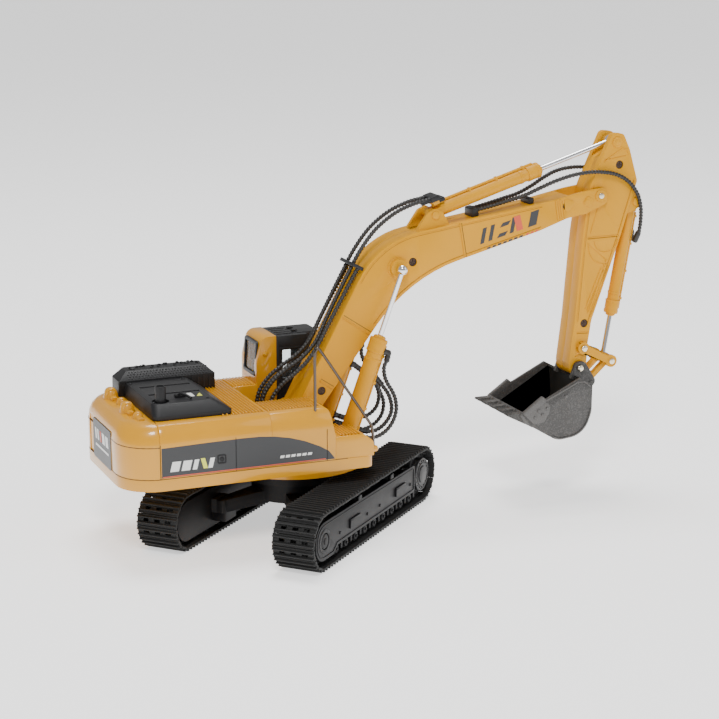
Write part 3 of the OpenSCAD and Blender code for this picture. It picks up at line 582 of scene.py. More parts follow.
LONG_HOSE = [(-12, 39.5), (-12.6, 45), (-11.4, 50.6), (-7.6, 55.6), (-2.4, 59.4), (3.4, 63), (8.6, 68.4), (12.4, 76),
             (16.6, 84), (21.2, 92.4), (25.6, 100), (31.6, 107.4), (39, 112.8), (46.4, 115.8), (52.4, 117)]
SHORT_HOSE = [(-9.6, 39.5), (-10.2, 45), (-8.8, 50), (-5.2, 54.2), (-0.4, 57.6), (4.4, 61.8), (8.4, 67),
              (12.4, 74.2), (17.2, 82.6), (21.8, 90.6), (24.6, 95.2)]
ARM_HOSE = [(73, 2.2, 112.2), (78, 2.4, 113.2), (85, 2.6, 114.8), (91.6, 2.8, 116.4), (97.6, 3.4, 118.8),
            (103, 4.8, 121.2), (109, 6.4, 123.2), (115, 7, 124.1), (121, 7.1, 124), (127.4, 7.1, 122.8),
            (133, 7, 119.8), (137.2, 6.6, 115), (139.4, 5.8, 109.6), (140.4, 4.4, 104), (140.6, 3, 99)]
OUTER_LOOP = {
    "right": [(32.9, 64.6), (32.1, 61.4), (31, 58.7), (31.3, 55.3), (32.5, 52.4), (34.3, 49.4), (35.5, 46.4),
              (35.9, 42.5), (34.8, 38.6), (32.5, 35.4), (29.5, 33.5), (27.1, 32.9), (24, 32.9), (20.9, 33.2)],
    "left": [(32.9, 64.6), (32.7, 61.4), (32.6, 58), (34, 54.4), (36.2, 50.6), (38.3, 47), (40.1, 43), (41.6, 38.6),
             (41.1, 34.5), (39.3, 31.7), (36.5, 29.7), (32.8, 28.8), (28.2, 29.6), (24, 32), (20.9, 33.2)]}
INNER_LOOP = {
    "right": [(28.7, 54.7), (30.3, 52.7), (32.7, 49.6), (34.3, 46.6), (35.1, 42.6), (34.2, 39.3), (31.5, 36.2),
              (28, 34.6), (24.6, 35), (21.9, 36)],
    "left": [(28.7, 54.7), (31.6, 52.4), (35.4, 49), (38, 45), (38.6, 41), (37.4, 37.4), (34, 34.8), (29, 34),
             (24.8, 34.8), (21.9, 36)]}
LOOPS = (("outer", OUTER_LOOP, 1.2), ("inner", INNER_LOOP, -1.2))

LIFT_BEND = ("boom", (-10, 0, 44), (10, 0, 70))
SWING_BEND = ("arm", (104, 0, 117), (134, 0, 124))
RUNS = (("long_hose", [(x, 2.6, z) for x, z in LONG_HOSE], "house", LIFT_BEND),
        ("short_hose", [(x, 4.6, z) for x, z in SHORT_HOSE], "house", LIFT_BEND),
        ("arm_hose", ARM_HOSE, "boom", SWING_BEND))

for side, word in SIDES:
    for name, route, body, bend in RUNS:
        hose(f"{name}_{word}_ribbed", [(x, side * y, z) for x, y, z in route], body, f"{name}_{word}", bend)
    for name, loop, dy in LOOPS:      # the CAD node holds both loops of a side; the outer one stands for it
        hose(f"{name}_loop_{word}", [(x, side * (BOOM_CYL_Y + dy), z) for x, z in loop[word]], f"{word}_boom_barrel",
             f"loop_hoses_{word}" if name == "outer" else None)

# ---------------------------------------------------------------- undercarriage

TRACK_LEN = 108
TRACK_H = 21.6
GAUGE = 53
SHOE_W = 16
SHOES = 54
TRACK_R = TRACK_H / 2
RUN = TRACK_LEN - TRACK_H
PLATE_R = TRACK_R - 0.9
LOOP = 2 * RUN + 2 * math.pi * PLATE_R
PITCH = LOOP / SHOES
SHOE_HALF = 2.05      # half of a shoe along the track
SHOE_T = 0.75
FACE_Y = 7.2          # outer face of the side plate, from the middle of its track


def loop_place(s):
    """(x, z) of the plate line at distance s round the track, and the outward normal there."""
    half, d = divmod(s % LOOP, LOOP / 2)
    way = -1 if half else 1
    a = max(0, d - RUN) / PLATE_R
    x = min(d, RUN) - RUN / 2 + PLATE_R * math.sin(a)
    return (way * x, TRACK_R - way * PLATE_R * math.cos(a)), (way * math.sin(a), -way * math.cos(a))


def track(side, word):
    """The shoes of one track: two grousers each, with slots or plain, and guide lugs inside."""
    kit = Kit(TRACKS)
    y = side * GAUGE / 2
    half = SHOE_W / 2
    for i in range(SHOES):
        (px, pz), (nx, nz) = loop_place(i * PITCH)
        shoe = Matrix(((-nz, 0, nx, px), (0, 1, 0, y), (nx, 0, nz, pz), (0, 0, 0, 1)))
        for ds in (-1.08, 1.08):
            kit.prism(bar(ds, 0.34, 0.2, -0.1, 0.88), -half + 0.25, half - 0.25, shoe)
        in_bend = abs(nz) < 0.995
        if i % 2 == 0 or in_bend:      # every other shoe on the straights is a plain one
            kit.box((-SHOE_HALF, -half, -SHOE_T), (-0.55, half, 0), shoe)
            kit.box((0.55, -half + 0.15, -SHOE_T), (SHOE_HALF, half - 0.15, 0), shoe)
            edges = (-half + 0.1, -5.4, -3.2, -1.1, 1.1, 3.2, 5.4, half - 0.1)
            for y0, y1 in zip(edges[::2], edges[1::2]):
                kit.box((-0.6, y0, -0.72), (0.6, y1, -0.02), shoe)
        else:
            kit.box((-SHOE_HALF, -half, -SHOE_T), (SHOE_HALF, half, 0), shoe)
        for lug in (-3.1, 3.1):
            kit.prism([(-1.9, -1.65), (1.9, -1.65), (2.1, -0.7), (-2.1, -0.7)], lug - 0.8, lug + 0.8, shoe)
    obj = kit.made(f"track_{word}_shoes", "undercarriage", "track_black", bevel=0.07, segments=1, smooth=25)
    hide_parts(f"track_chain_{word}")


def wheel_details(side, word):
    place = TRACKS @ Matrix.Translation((0, side * GAUGE / 2, 0)) @ Matrix.Scale(side, 4, (0, 1, 0))
    # sprocket: flat ringed disc with small bolts and a stepped cap
    kit, x = Kit(place), RUN / 2
    kit.stud((x, TRACK_R), 1, 4.2, [(0, 6.3), (2.5, 6.3), (2.7, 6.1), (2.7, 5.7), (2.5, 5.55), (2.5, 4.5), (2.8, 4.3),
                                    (2.8, 2.3), (3.1, 2.1), (3.1, 1), (2.9, 0.8)], 48)
    for bolt in circle(Vector((x, TRACK_R)), Vector((1, 0)), Vector((0, 1)), 5.05, 16):
        kit.disc(bolt, 0.32, 6.6, 7, 0.1, 8)
    kit.piece(f"{word}_sprocket_cap", f"{word}_sprocket", "wheel_grey", smooth=35)
    # idler: only its hub shows through the side plate
    kit, x = Kit(place), -RUN / 2
    kit.stud((x, TRACK_R), 1, FACE_Y, [(0, 2.4), (0.3, 2.3), (0.35, 1.2), (0.55, 1.1), (0.6, 0.5)], 32)
    kit.piece(f"{word}_idler_cap", f"{word}_idler", "undercarriage_black", smooth=35)
    # side plate: ring round the hub, panel lines, two L-shaped steps, roller caps in the shadow below, guide nubs
    kit = Kit(place)
    kit.disc((x, TRACK_R), 4.4, FACE_Y, 7.45, 0.1, 40, bore=3)
    outline = rounded([(-49.4, 4.9, 5.7), (-36.4, 4.9, 0), (-33.2, 7.2, 0.6), (34.2, 7.2, 0.6), (34.2, 15.8, 0.6),
                       (-38, 16.7, 3.6), (-49.4, 16.7, 5.7)], 6)
    kit.frame(outline, 0.4, (FACE_Y, 7.5, 7.5, FACE_Y))
    for x in (-19, 21):
        kit.box((x - 4.4, FACE_Y, 11.9), (x + 4.4, 7.95, 12.7), chamfer=0.15)
        kit.box((x - 4.4, FACE_Y, 9.4), (x - 3.5, 7.9, 12.1), chamfer=0.15)
    for x in (-31, -8, 3, 31):
        kit.disc((x, 10.2), 0.6, FACE_Y, 7.6, 0.12, 16)
    for i in range(9):
        x = (i - 4) * 8
        kit.disc((x, 4.45), 1.6, 5.8, 6.5, 0.2, 20)
        kit.disc((x, 4.45), 0.55, 6.4, 6.9, 0.12, 12)
        kit.box((x + 3.3, 5.2, 3.6), (x + 4.7, 6.5, 6.3), chamfer=0.3)
    for x in (-14, 14):
        kit.box((x - 1.4, 6, 17.2), (x + 1.4, 7.3, 18.9), chamfer=0.4)
    kit.prism(rounded([(-50.6, 3.6, 7), (50.6, 3.6, 7), (50.6, 18, 7), (-50.6, 18, 7)], 8), -7, -6.6)
    kit.piece(f"track_frame_{word}_details", "undercarriage", "undercarriage_black", bevel=0.09, smooth=35)


for side, word in SIDES:
    track(side, word)
    wheel_details(side, word)
    softened(f"track_frame_{word}", "undercarriage", "undercarriage_black", 0.25)
    softened(f"sprocket_{word}", f"{word}_sprocket", "wheel_grey", 0.12)
    softened(f"idler_{word}", f"{word}_idler", "wheel_grey", 0.12)
skins("undercarriage", "undercarriage_black", {"car_body": 0.3, "wheel_axles": 0.12})
softened("frame_screws", "undercarriage", "dark_screw", 0.1)

# ---------------------------------------------------------------- house

HALF_W = 29.5
ROOF_Z = 50.4
TAIL_X = -71
CREASE_X = -58.7
MID_X = -31.6
SEAM_X = 2.2
WELL_X = -18.2
WELL_HALF = 11.6
STEP_Z = 39.7
BASE_Z = 31.6

softened("house_deck", "house", "house_yellow", 0.45, segments=3)
softened("slew_screw", "house", "dark_screw", 0.1)
skins("house", "house_yellow", dict.fromkeys(
    ("counterweight", "engine_housing", "right_cover", "left_cover", "front_step"), 0.22), smooth=34)


def roof_ribs():
    """Fine ribs across the roof and the front step, each field on a darker ground of painted shade."""
    kit = Kit()
    pitch = 1.15
    areas = [(-35, MID_X - 0.5, -24.6, 13.2), (MID_X + 0.4, WELL_X - 0.8, -24.6, 24.6),
             (WELL_X - 0.2, 1.6, -24.6, -WELL_HALF - 0.7), (WELL_X - 0.2, -9.8, WELL_HALF + 0.7, 24.6)]
    for x0, x1, y0, y1 in areas:
        count = int((x1 - x0) / pitch)
        for i in range(count):
            x = x0 + (i + 0.5) * (x1 - x0) / count
            kit.prism(bar(x, 0.3, 0.17, ROOF_Z - 0.1, ROOF_Z + 0.45), y0, y1)
    kit.piece("roof_ribs", "house", "house_yellow", bevel=0.06, segments=1)
    # painted shade: darker sheets under the ribs of the roof and the step
    kit = Kit()
    for x0, x1, y0, y1 in areas:
        kit.box((x0 + 0.1, y0 + 0.1, ROOF_Z - 0.1), (x1 - 0.1, y1 - 0.1, ROOF_Z + 0.03))
    kit.box((7.7, -27.5, STEP_Z - 0.6), (11.3, -13.1, STEP_Z + 0.03))
    kit.box((11.3, -27.5, STEP_Z - 0.6), (15.6, -16.1, STEP_Z + 0.03))
    kit.piece("rib_painted_shade", "house", "groove", "house_yellow")
    kit = Kit()
    for i in range(7):
        x = 8.2 + i * pitch
        kit.prism(bar(x, 0.3, 0.18, STEP_Z - 0.2, STEP_Z + 0.3), -27.6, -16 if x > 12 else -13)
    kit.piece("step_ribs", "house", "house_yellow", bevel=0.06, segments=1)


def printed(name, body, material, slot, side, y0, y1, shapes):
    """Shapes printed on one side of a body, from y0 to y1 out from its middle."""
    kit = Kit()
    for shape in shapes:
        kit.wall(shape, side, y0, y1)
    kit.piece(name, body, material, slot)


def side_marks():
    """Printed panel on each side, with plain slanted bars, and the tail panel."""
    arch = [(-58.3, 31.95), (-58.3, 42.5), (-40, 42.9), (-30, 43.05), (-23, 42.95), (-17.3, 42.4), (-11.7, 41.3),
            (-6.2, 39.6), (-0.6, 37.1), (2.8, 35.1), (4.5, 32.9), (5.1, 31.95)]
    cut_arch = [(x, z) for x, z in arch if x < -9.4] + [(-9.4, 39.8), (-9.4, 31.95)]
    bars = [slant(x, 33.9, w, 3.5, 0.9, 0) for x, w in ((-55.4, 3.1), (-51.4, 3.1), (-47.4, 1.6), (-41.8, 1.6))]
    dashes = [slant(-15.5 + i * 2.05, 34.4, 1.5, 0.9, 0.25, 0) for i in range(6)]
    for side, word in SIDES:
        def marks(name, material, shapes, y0=0, y1=0.08):
            printed(name, "house", material, "house_yellow", side, HALF_W + y0, HALF_W + y1, shapes)
        shape, front = (arch, 1.6) if side < 0 else (cut_arch, -9.4)
        marks(f"side_panel_{word}", "decal_grey", [shape], -0.1, 0.05)
        marks(f"side_line_{word}", "decal_red", [[(-58, 32.1), (front, 32.1), (front, 32.45), (-58, 32.45)]])
        marks(f"side_bars_{word}", "decal_white", bars)
        marks(f"side_flash_{word}", "decal_lime", [slant(-44.4, 37.6, 1.5, -3.7, 1, 0)], y1=0.09)
        if side < 0:
            marks("side_dashes", "decal_white", dashes)
        # latch: rounded frame with a recessed button
        y = side * HALF_W
        kit = Kit()
        kit.frame(rounded([(-38.4, 34.9, 0.6), (-35.2, 34.9, 0.6), (-35.2, 38.1, 0.6), (-38.4, 38.1, 0.6)], 4), 0.45,
                  (y, y + side * 0.28, y + side * 0.28, y + side * 0.08))
        kit.disc((-36.8, 36.5), 0.85, y, y + side * 0.3, 0.15, 20)
        kit.piece(f"side_latch_{word}", "house", "cover_black", "house_yellow", bevel=0.05)
    # tail panel
    shape = rounded([(-11.3, 30.9, 1), (11.3, 30.9, 1), (11.3, 45, 1), (-11.3, 45, 1)], 4)
    turn = Matrix(((0, 1, 0, TAIL_X), (1, 0, 0, 0), (0, 0, 1, 0), (0, 0, 0, 1)))
    Kit().prism(shape, -0.1, 0.3, turn).piece("tail_panel", "house", "decal_grey", "house_yellow")
    kit = Kit()
    for x, w in ((-8.6, 3.2), (-4.2, 3.2), (3.4, 1.6), (6.2, 1.6)):
        kit.prism(slant(x, 38.2, w, 3.8, 0.8, 0), -0.18, 0, turn)
    kit.box((-8.6, -0.18, 35.6), (7.8, 0, 36.4), turn)
    kit.piece("tail_bars", "house", "decal_white", "house_yellow")
    kit = Kit().prism(slant(0.2, 38.2, 1.6, 3.8, 0.8, 0), -0.19, 0, turn)
    kit.piece("tail_flash", "house", "decal_red", "house_yellow")


def house_details():
    """Lugs, seams between the body panels, and what stands on the engine cover and the grille box."""
    # tail lugs: rounded lifting eyes on the counterweight
    kit = Kit()
    for x, y, r, h in ((-63.6, -7, 2.5, 4.2), (-63.6, 14, 2.5, 4.2), (-62.4, -16, 1.7, 2.6), (-62.4, 4.6, 1.7, 2.6)):
        profile = [(0, r + 0.5), (h * 0.35, r), (h * 0.7, r * 0.86), (h * 0.9, r * 0.6), (h, r * 0.25)]
        kit.lathe((x, y, ROOF_Z - 0.3), (x, y, ROOF_Z + h), profile, 28)
        kit.box((x - 1, y - r - 2.2, ROOF_Z - 0.2), (x + 1.4, y + r + 1, ROOF_Z + h * 0.3), chamfer=0.4)
    kit.piece("tail_lugs", "house", "house_yellow", bevel=0.1)
    # shadow lines where the body panels meet: round the rim, down the sides and over the roof
    kit = Kit()
    around = rounded([(TAIL_X - 0.04, -HALF_W - 0.04, 13), (10, -HALF_W - 0.04, 0), (10, HALF_W + 0.04, 0),
                      (TAIL_X - 0.04, HALF_W + 0.04, 13)], 24)
    kit.plan(around, BASE_Z - 0.18, BASE_Z)
    kit.plan([(min(x, CREASE_X), y) for x, y in around], 42.7, 42.9)
    for side in (-1, 1):
        y0, y1 = sorted((side * HALF_W, side * (HALF_W + 0.05)))
        for x, top in ((CREASE_X, 43.6), (MID_X, 43.6), (SEAM_X, 43)):
            kit.box((x - 0.1, y0, BASE_Z), (x + 0.1, y1, top))
    kit.box((CREASE_X - 0.12, -24.6, ROOF_Z - 0.1), (CREASE_X + 0.12, 24.6, ROOF_Z + 0.04))
    kit.box((MID_X - 0.12, -24.6, ROOF_Z - 0.1), (MID_X + 0.12, 13.2, ROOF_Z + 0.04))
    kit.piece("panel_seams", "house", "seam", "house_yellow")
    # engine cover fittings
    softened("engine_cover", "house", "cover_black", 0.5, angle=18, segments=3)
    softened("grille_box", "house", "cover_black", 0.35, angle=20)
    softened("exhaust_pipe", "house", "cover_black", 0.15)
    kit = Kit()
    for y in (5, -6):
        kit.box((-55.4, y - 0.75, 54.6), (-37.2, y + 0.75, 55))
    kit.prism([(-47.6, 55.2), (-44.2, 55.2), (-44.2, 55.9), (-47.6, 56.3)], -13.3, -11.9)
    kit.tube([(-47.4, -12.6, 56), (-46.2, -13.6, 56.9), (-44.6, -15.6, 56.6), (-43.4, -17.2, 55.9)], 0.5, 10)
    kit.disc((-47.4, 56), 0.7, -13.5, -11.7, 0.15, 16)
    for x, y in ((-57, -17), (-57, 11.5), (-37.4, -17), (-37.4, 11.5)):
        kit.lathe((x, y, 55.2), (x, y, 56), [(0, 0.6), (0.4, 0.6), (0.6, 0.35)], 12)
    kit.piece("engine_cover_fittings", "house", "cover_black", bevel=0.08)
    kit = Kit().box((-42.6, -13.4, 55.3), (-40.9, -8.6, 55.46))
    kit.piece("cover_label_white", "house", "decal_white", "cover_black")
    kit = Kit().plan([(-40.3, -13.6), (-38.2, -13.6), (-38.2, -9.6)], 55.3, 55.46)
    kit.piece("cover_label_sign", "house", "decal_lime", "cover_black")
    # grille box: rows of dots on its inner bevel, vertical lines on its inner wall, studs on top
    kit = Kit()
    for row in range(4):
        t = 0.16 + row * 0.22
        y, z = 13.7 + 3.4 * t, 56 + 2.8 * t
        for i in range(26):
            x = -56.6 + i * 1.16 + (row % 2) * 0.58
            kit.lathe((x, y + 0.1, z - 0.12), (x, y - 0.2, z + 0.26), [(0, 0.3), (0.22, 0.3), (0.36, 0.16)], 8)
    for i in range(15):
        x = -57 + i * 2.15
        kit.box((x, 13.5, 51.2), (x + 0.5, 13.8, 55.4))
    studs = ((-54, 19, 0.9), (-50, 22, 0.6), (-44, 20, 0.5), (-41, 22.5, 0.7), (-38, 19.5, 0.5), (-33, 21, 1),
             (-30.5, 22.5, 0.5), (-47, 18.6, 0.5), (-36, 23, 0.6))
    for x, y, r in studs:
        kit.lathe((x, y, 58.5), (x, y, 59.6), [(0, r), (0.6, r), (0.8, r * 0.6)], 12)
    kit.piece("grille_box_details", "house", "cover_black", smooth=30)


def cab():
    softened("cab_rear_shell", "house", "house_yellow", 0.4, segments=3, smooth=36)
    softened("cab_frame", "house", "cover_black", 0.25)
    softened("cab_windshield", "house", "window", 0.05)
    softened("cab_seat", "house", "cover_black", 0.4, segments=3)
    # rear window, which leans above z = 58: black frame and pane, then the side panes
    y0, y1 = 14.6, 27.9
    outer = rounded([(y0, 52.7, 1), (y1, 52.7, 1), (y1, 65.7, 1.4), (y0, 65.7, 1.4)], 5)
    inner = inset(outer, 1.3)

    def rear(points, depth):
        return [(-8.75 + max(0, z - 58) * 0.11 + depth, y, z) for y, z in points]
    kit = Kit()
    kit.loft([rear(outer, 0.6), rear(outer, -0.12), rear(inner, -0.12), rear(inner, 0.8)], ends="open")
    kit.piece("cab_rear_window_frame", "house", "cover_black", bevel=0.1)
    Kit().loft([rear(inner, 0.7), rear(inner, 0.4)]).piece("cab_rear_window_pane", "house", "window")
    for word, y, x1 in (("right", 13.7, 9.5), ("left", 28.5, 10.3)):
        Kit().box((1.1, y, 51.5), (x1, y + 0.3, 62.1)).piece(f"cab_side_pane_{word}", "house", "window")
    # roof hatch with hinges, window bars, pillar strips and the door's grip
    kit = Kit()
    kit.box((8.4, 15.9, 67.3), (16.8, 26.6, 67.75), chamfer=0.15)
    for y in (18.6, 23.4):
        kit.box((7.4, y, 67.3), (9.4, y + 1.2, 68.1), chamfer=0.2)
        kit.disc((7.6, 67.75), 0.4, y - 0.2, y + 1.4, 0.08, 10)
    kit.boxes(((0.5, 13, 62.6), (11, 13.5, 63.2), 0.1), ((0.5, 13, 50.2), (11, 13.5, 50.8), 0.1),
              ((10.2, 13, 38), (10.8, 13.5, 65.6), 0), ((-0.4, 13, 38), (0.2, 13.5, 65.6), 0),
              ((6.8, 29.1, 38), (7.3, 29.5, 65.6), 0), ((9.6, 29.1, 47), (13.2, 29.7, 47.8), 0.2))
    kit.piece("cab_trim", "house", "cover_black", bevel=0.1)
    kit = Kit()
    kit.lathe((-5.4, 13.05, 61.5), (-5.4, 12.3, 61.5), [(0, 1), (0.4, 1), (0.6, 0.7), (0.7, 0.3)], 20)
    kit.piece("cab_shell_boss", "house", "house_yellow")


def handrail():
    y = -26.9
    corners = [(-1.3, 46), (-1.3, 58), (-1.3, 69.3), (-0.6, 71.1), (0.8, 70.7), (10.5, 56.2), (19.4, 42.9),
               (20.3, 41), (20.7, 37), (20.9, 33.5)]
    path, _ = smooth_path([(x, y, z) for x, z in corners], 0.7)
    obj = Kit().tube(path, 0.52, 14).made("handrail_wire", "house", "rail_steel", smooth=60)
    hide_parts("handrail")
    kit = Kit()
    kit.lathe((20, y, 33.2), (22.6, y, 33.2), [(0, 1.35), (0.5, 1.3), (1.9, 1.15), (2.3, 0.9), (2.5, 0.4)], 24)
    kit.piece("handrail_foot", "house", "house_yellow")


roof_ribs()
side_marks()
house_details()
cab()
handrail()
skins("house", "pin_metal", {"boom_foot_pin": 0.15, "boom_cylinder_foot_pins": 0.12})

# ---------------------------------------------------------------- boom, arm and cylinders

BOOM_OUTLINE = rounded([(-3.8, 39.5, 3.8), (30.9, 103.8, 32), (96.1, 113.4, 30), (112.7, 116.7, 10),
                        (123.8, 118.2, 2.4), (124.4, 112.2, 2.2), (115.4, 108.6, 4), (107.6, 107.4, 6),
                        (96.3, 103.5, 20), (42.8, 89.4, 60), (2.1, 35.7, 2.9)])
ARM_OUTLINE = rounded([(126.6, 138.2, 2.2), (131.4, 137.6, 2), (134.2, 131.6, 2), (137.8, 119.6, 2.5),
                       (131.2, 98.6, 30), (119.8, 67.2, 10), (118.4, 58, 2), (117.9, 46.2, 3.1),
                       (111.1, 46.2, 3.1), (110.6, 51, 2), (112.6, 67.6, 20), (115.2, 99.6, 30), (117.6, 118, 8)])


def ridge(points, width):
    """Outline of a strip of the given width along an open line."""
    left, right = [], []
    pts = [Vector(p) for p in points]
    for i, p in enumerate(pts):
        t = along(pts, i)
        n = Vector((-t.y, t.x)) * width / 2
        left.append(tuple(p + n))
        right.append(tuple(p - n))
    return left + right[::-1]


def side_strips(name, body, half, lines, height, material="boom_yellow", bevel=0.08):
    """Raised strips along (line in XZ, width), on both faces at |Y| = half."""
    kit = Kit()
    for line, width in lines:
        for side in (1, -1):
            kit.wall(ridge(line, width), side, half - 0.1, half + height)
    kit.piece(name, body, material, "boom_yellow", bevel=bevel, segments=1, smooth=30)


def rim(outline, gap, width, keep):
    """Strips along the outline, moved in by gap, where keep(x, z) holds."""
    pts = inset(outline, gap)
    runs = [list(run) for kept, run in groupby(pts + pts[:1], lambda p: keep(*p)) if kept]
    return [(dedupe(run), width) for run in runs if len(run) > 2]


def dedupe(points, least=0.4):
    """The line without points closer than the least distance to the one before."""
    out = [points[0]]
    for p in points[1:]:
        if (Vector(p) - Vector(out[-1])).length > least:
            out.append(p)
    return out


def screw_heads(name, node, body, places, y):
    """Dark recessed screws: a dished pocket, a domed head and a cross."""
    kit = Kit()
    for x, z in places:
        kit.lathe((x, y + 0.95, z), (x, y, z), [(0, 1.45), (0.3, 1.42), (0.5, 1.2), (0.62, 0.7), (0.64, 0.3)], 28)
        for turn in (0.4, 0.4 + math.pi / 2):
            spin = Matrix.Translation((x, 0, z)) @ Matrix.Rotation(turn, 4, "Y")
            kit.box((-0.95, y + 0.2, -0.16), (0.95, y + 0.36, 0.16), spin)
    kit.piece(name, body, "dark_screw", bevel=0.05)
    softened(node, body, "dark_screw", 0.08)


def boom():
    skins("boom", "boom_yellow", {"boom_right_half": 0.35, "boom_left_half": 0.35}, smooth=32)
    softened("hose_clamps", "boom", "cover_black", 0.2)
    softened("boom_pins", "boom", "pin_metal")
    screw_heads("boom_screw_heads", "boom_screws", "boom", [(9, 50.7), (44.7, 95.4), (107.2, 112)], -BOOM_HALF)

    def plain(x, z):
        """Where the boom has a rim: clear of its foot and of its fork."""
        return x < 101.5 and z > 52
    side_strips("boom_rims", "boom", BOOM_HALF, rim(BOOM_OUTLINE, 1, 0.28, plain), 0.2)
    # painted shade: thin darker lines just inside the rims
    side_strips("boom_grooves", "boom", BOOM_HALF, rim(BOOM_OUTLINE, 1.3, 0.16, plain), 0.03, "groove", 0)
    ribs = [([(102.6, 114.2), (103.8, 106.9)], 0.7), ([(104.4, 114.5), (105.6, 107.3)], 0.7),
            ([(17.2, 77), (27.6, 70.1)], 0.45), ([(63.4, 108.2), (65.6, 95.6)], 0.45),
            ([(8.4, 54.4), (13.2, 51.2)], 0.45)]
    side_strips("boom_ribs", "boom", BOOM_HALF, ribs, 0.3)
    joints = [([(17.7, 77.9), (28.1, 71)], 0.2), ([(64, 108.4), (66.2, 95.9)], 0.2),
              ([(8.8, 55.2), (13.6, 52)], 0.2)]
    side_strips("boom_joints", "boom", BOOM_HALF, joints, 0.04, "seam", 0)
    kit = Kit()
    pad = rounded([(105.9, 115.2, 1), (111.6, 113.2, 1.2), (106.6, 108.8, 1)], 5)
    fork = rounded([(113.4, 112.2, 1.2), (117.2, 110.9, 1.2), (118.4, 113.4, 1.2), (116.2, 115.6, 1.2)], 5)
    for side in (-1, 1):
        foot = side * (BOOM_HALF - 0.1)
        kit.wall(pad, side, BOOM_HALF - 0.1, BOOM_HALF + 0.2)
        kit.wall(fork, side, BOOM_HALF - 0.1, BOOM_HALF + 0.3)
        kit.disc(TIP, 2.3, foot, side * (BOOM_HALF + 0.35), 0.15, 36, bore=1.15)
        kit.disc((115.6, 113.3), 0.8, side * BOOM_HALF, side * (BOOM_HALF + 0.5), 0.15, 20)
        kit.disc(BOOM_CYL_HEAD, 3.9, foot, side * (BOOM_HALF + 0.5), 0.4, 40)
    kit.piece("boom_bosses", "boom", "boom_yellow", bevel=0.1)
    kit, caps = Kit(), Kit()
    for side in (-1, 1):
        kit.stud(TIP, side, BOOM_HALF, [(0, 1.2), (0.5, 1.2), (0.75, 1), (0.85, 0.5)], 28)
        caps.stud(ARM_CYL, side, 4.9, [(0, 1.5), (0.5, 1.5), (0.8, 1.2), (0.9, 0.6)])
    kit.piece("boom_pin_heads", "boom", "pin_metal")
    caps.piece("arm_cylinder_foot_caps", "boom", "boom_yellow")
    # printed bars on each side of the boom
    for side, word in SIDES:
        def bars(shapes, name, material, out=0.05):
            printed(f"{name}_{word}", "boom", material, "boom_yellow", side, BOOM_HALF - 0.05, BOOM_HALF + out,
                    shapes)
        bars([slant(71.6, 100, 1.6, 5.6), slant(74.9, 100.9, 1.6, 5.6), slant(78.4, 101.8, 3.4, 1.4),
              slant(79.6, 105.7, 3.4, 1.4), slant(83.6, 103.2, 1.6, 5.6), slant(91.2, 105, 3.4, 5.4)],
             "boom_bars", "decal_grey")
        bars([slant(86.6, 103.9, 2.6, 5.8, lean=-1.4)], "boom_flash", "decal_red", 0.06)
        grey = [slant(74.4 + i * 2.2, 97.9 + i * 0.57, 1.4, 1, 0.3) for i in range(7)]
        bars(grey, "boom_dashes", "decal_grey")
        red = [slant(90.4 + i * 1.9, 102 + i * 0.5, 1.1, 1, 0.3) for i in range(3)]
        bars(red, "boom_dashes_red", "decal_red")


def arm():
    skins("arm", "boom_yellow", {"arm_right_half": 0.35, "arm_left_half": 0.35}, smooth=32)
    softened("arm_pins", "arm", "pin_metal")
    screw_heads("arm_screw_heads", "arm_screws", "arm", [(130, 126), (116.7, 66.2)], -ARM_HALF)

    def plain(x, z):
        """Where the arm has a rim: clear of its two ends."""
        return 60 < z < 128
    lines = rim(ARM_OUTLINE, 1.1, 0.3, plain)
    lines += [([(123.6, 127.4), (126.4, 129.4), (131.2, 132.2), (133, 131.6), (133.8, 129.4)], 0.35),
              ([(117.2, 99), (130.4, 99.2)], 0.35),
              ([(120, 97.2), (121.4, 94.4), (124, 93), (127.6, 93.6), (129.6, 95.6), (130.2, 97.6)], 0.3),
              ([(117.6, 97), (118.2, 93), (120.4, 90), (123.6, 88.6), (126.2, 88.4)], 0.35),
              ([(126.4, 88.2), (119.2, 70.6)], 0.4), ([(124.8, 87.4), (117.8, 71)], 0.3),
              ([(123.4, 87.2), (116.9, 71.6)], 0.3), ([(113.6, 62.8), (118.4, 62.6)], 0.35),
              ([(113.2, 53.4), (115, 54), (117, 53.2)], 0.35), ([(118.4, 100.6), (122, 112.6)], 0.5),
              ([(124.6, 88.4), (124, 84.6)], 0.5)]
    side_strips("arm_rims", "arm", ARM_HALF, lines, 0.22)
    # painted shade: thin darker lines just inside the rims and along two ribs
    lines = rim(ARM_OUTLINE, 1.45, 0.16, plain)
    lines += [([(117.4, 98.5), (130.3, 98.7)], 0.18), ([(113.6, 62.4), (118.3, 62.2)], 0.18)]
    side_strips("arm_grooves", "arm", ARM_HALF, lines, 0.03, "groove", 0)
    kit = Kit()
    for side in (-1, 1):
        kit.disc(ARM_CYL_HEAD, 2, side * (ARM_HALF - 0.1), side * (ARM_HALF + 0.4), 0.2, 32, bore=1.1)
        kit.disc(GUIDE_PIN, 2.2, side * (ARM_HALF - 0.15), side * (ARM_HALF + 0.2), 0.1, 28)
        kit.disc((125.4, 89.6), 0.5, side * ARM_HALF, side * (ARM_HALF + 0.4), 0.1, 12)
    kit.piece("arm_bosses", "arm", "boom_yellow", bevel=0.08)
    pin_ends("arm_pin_heads", "arm", "pin_metal", ((GUIDE_PIN, 7.4, 1.2), (BUCKET_PIN, 7.6, 1.2)))
    pin_ends("arm_pin_caps", "arm", "boom_yellow", ((ARM_CYL_HEAD, 5.1, 1.2), (BUCKET_CYL, 4.3, 1.7)))


def cylinder_line(foot, head, y=0):
    """The foot and the direction of a cylinder's axis."""
    a = Vector((foot[0], y, foot[1]))
    return a, (Vector((head[0], y, head[1])) - a).normalized()


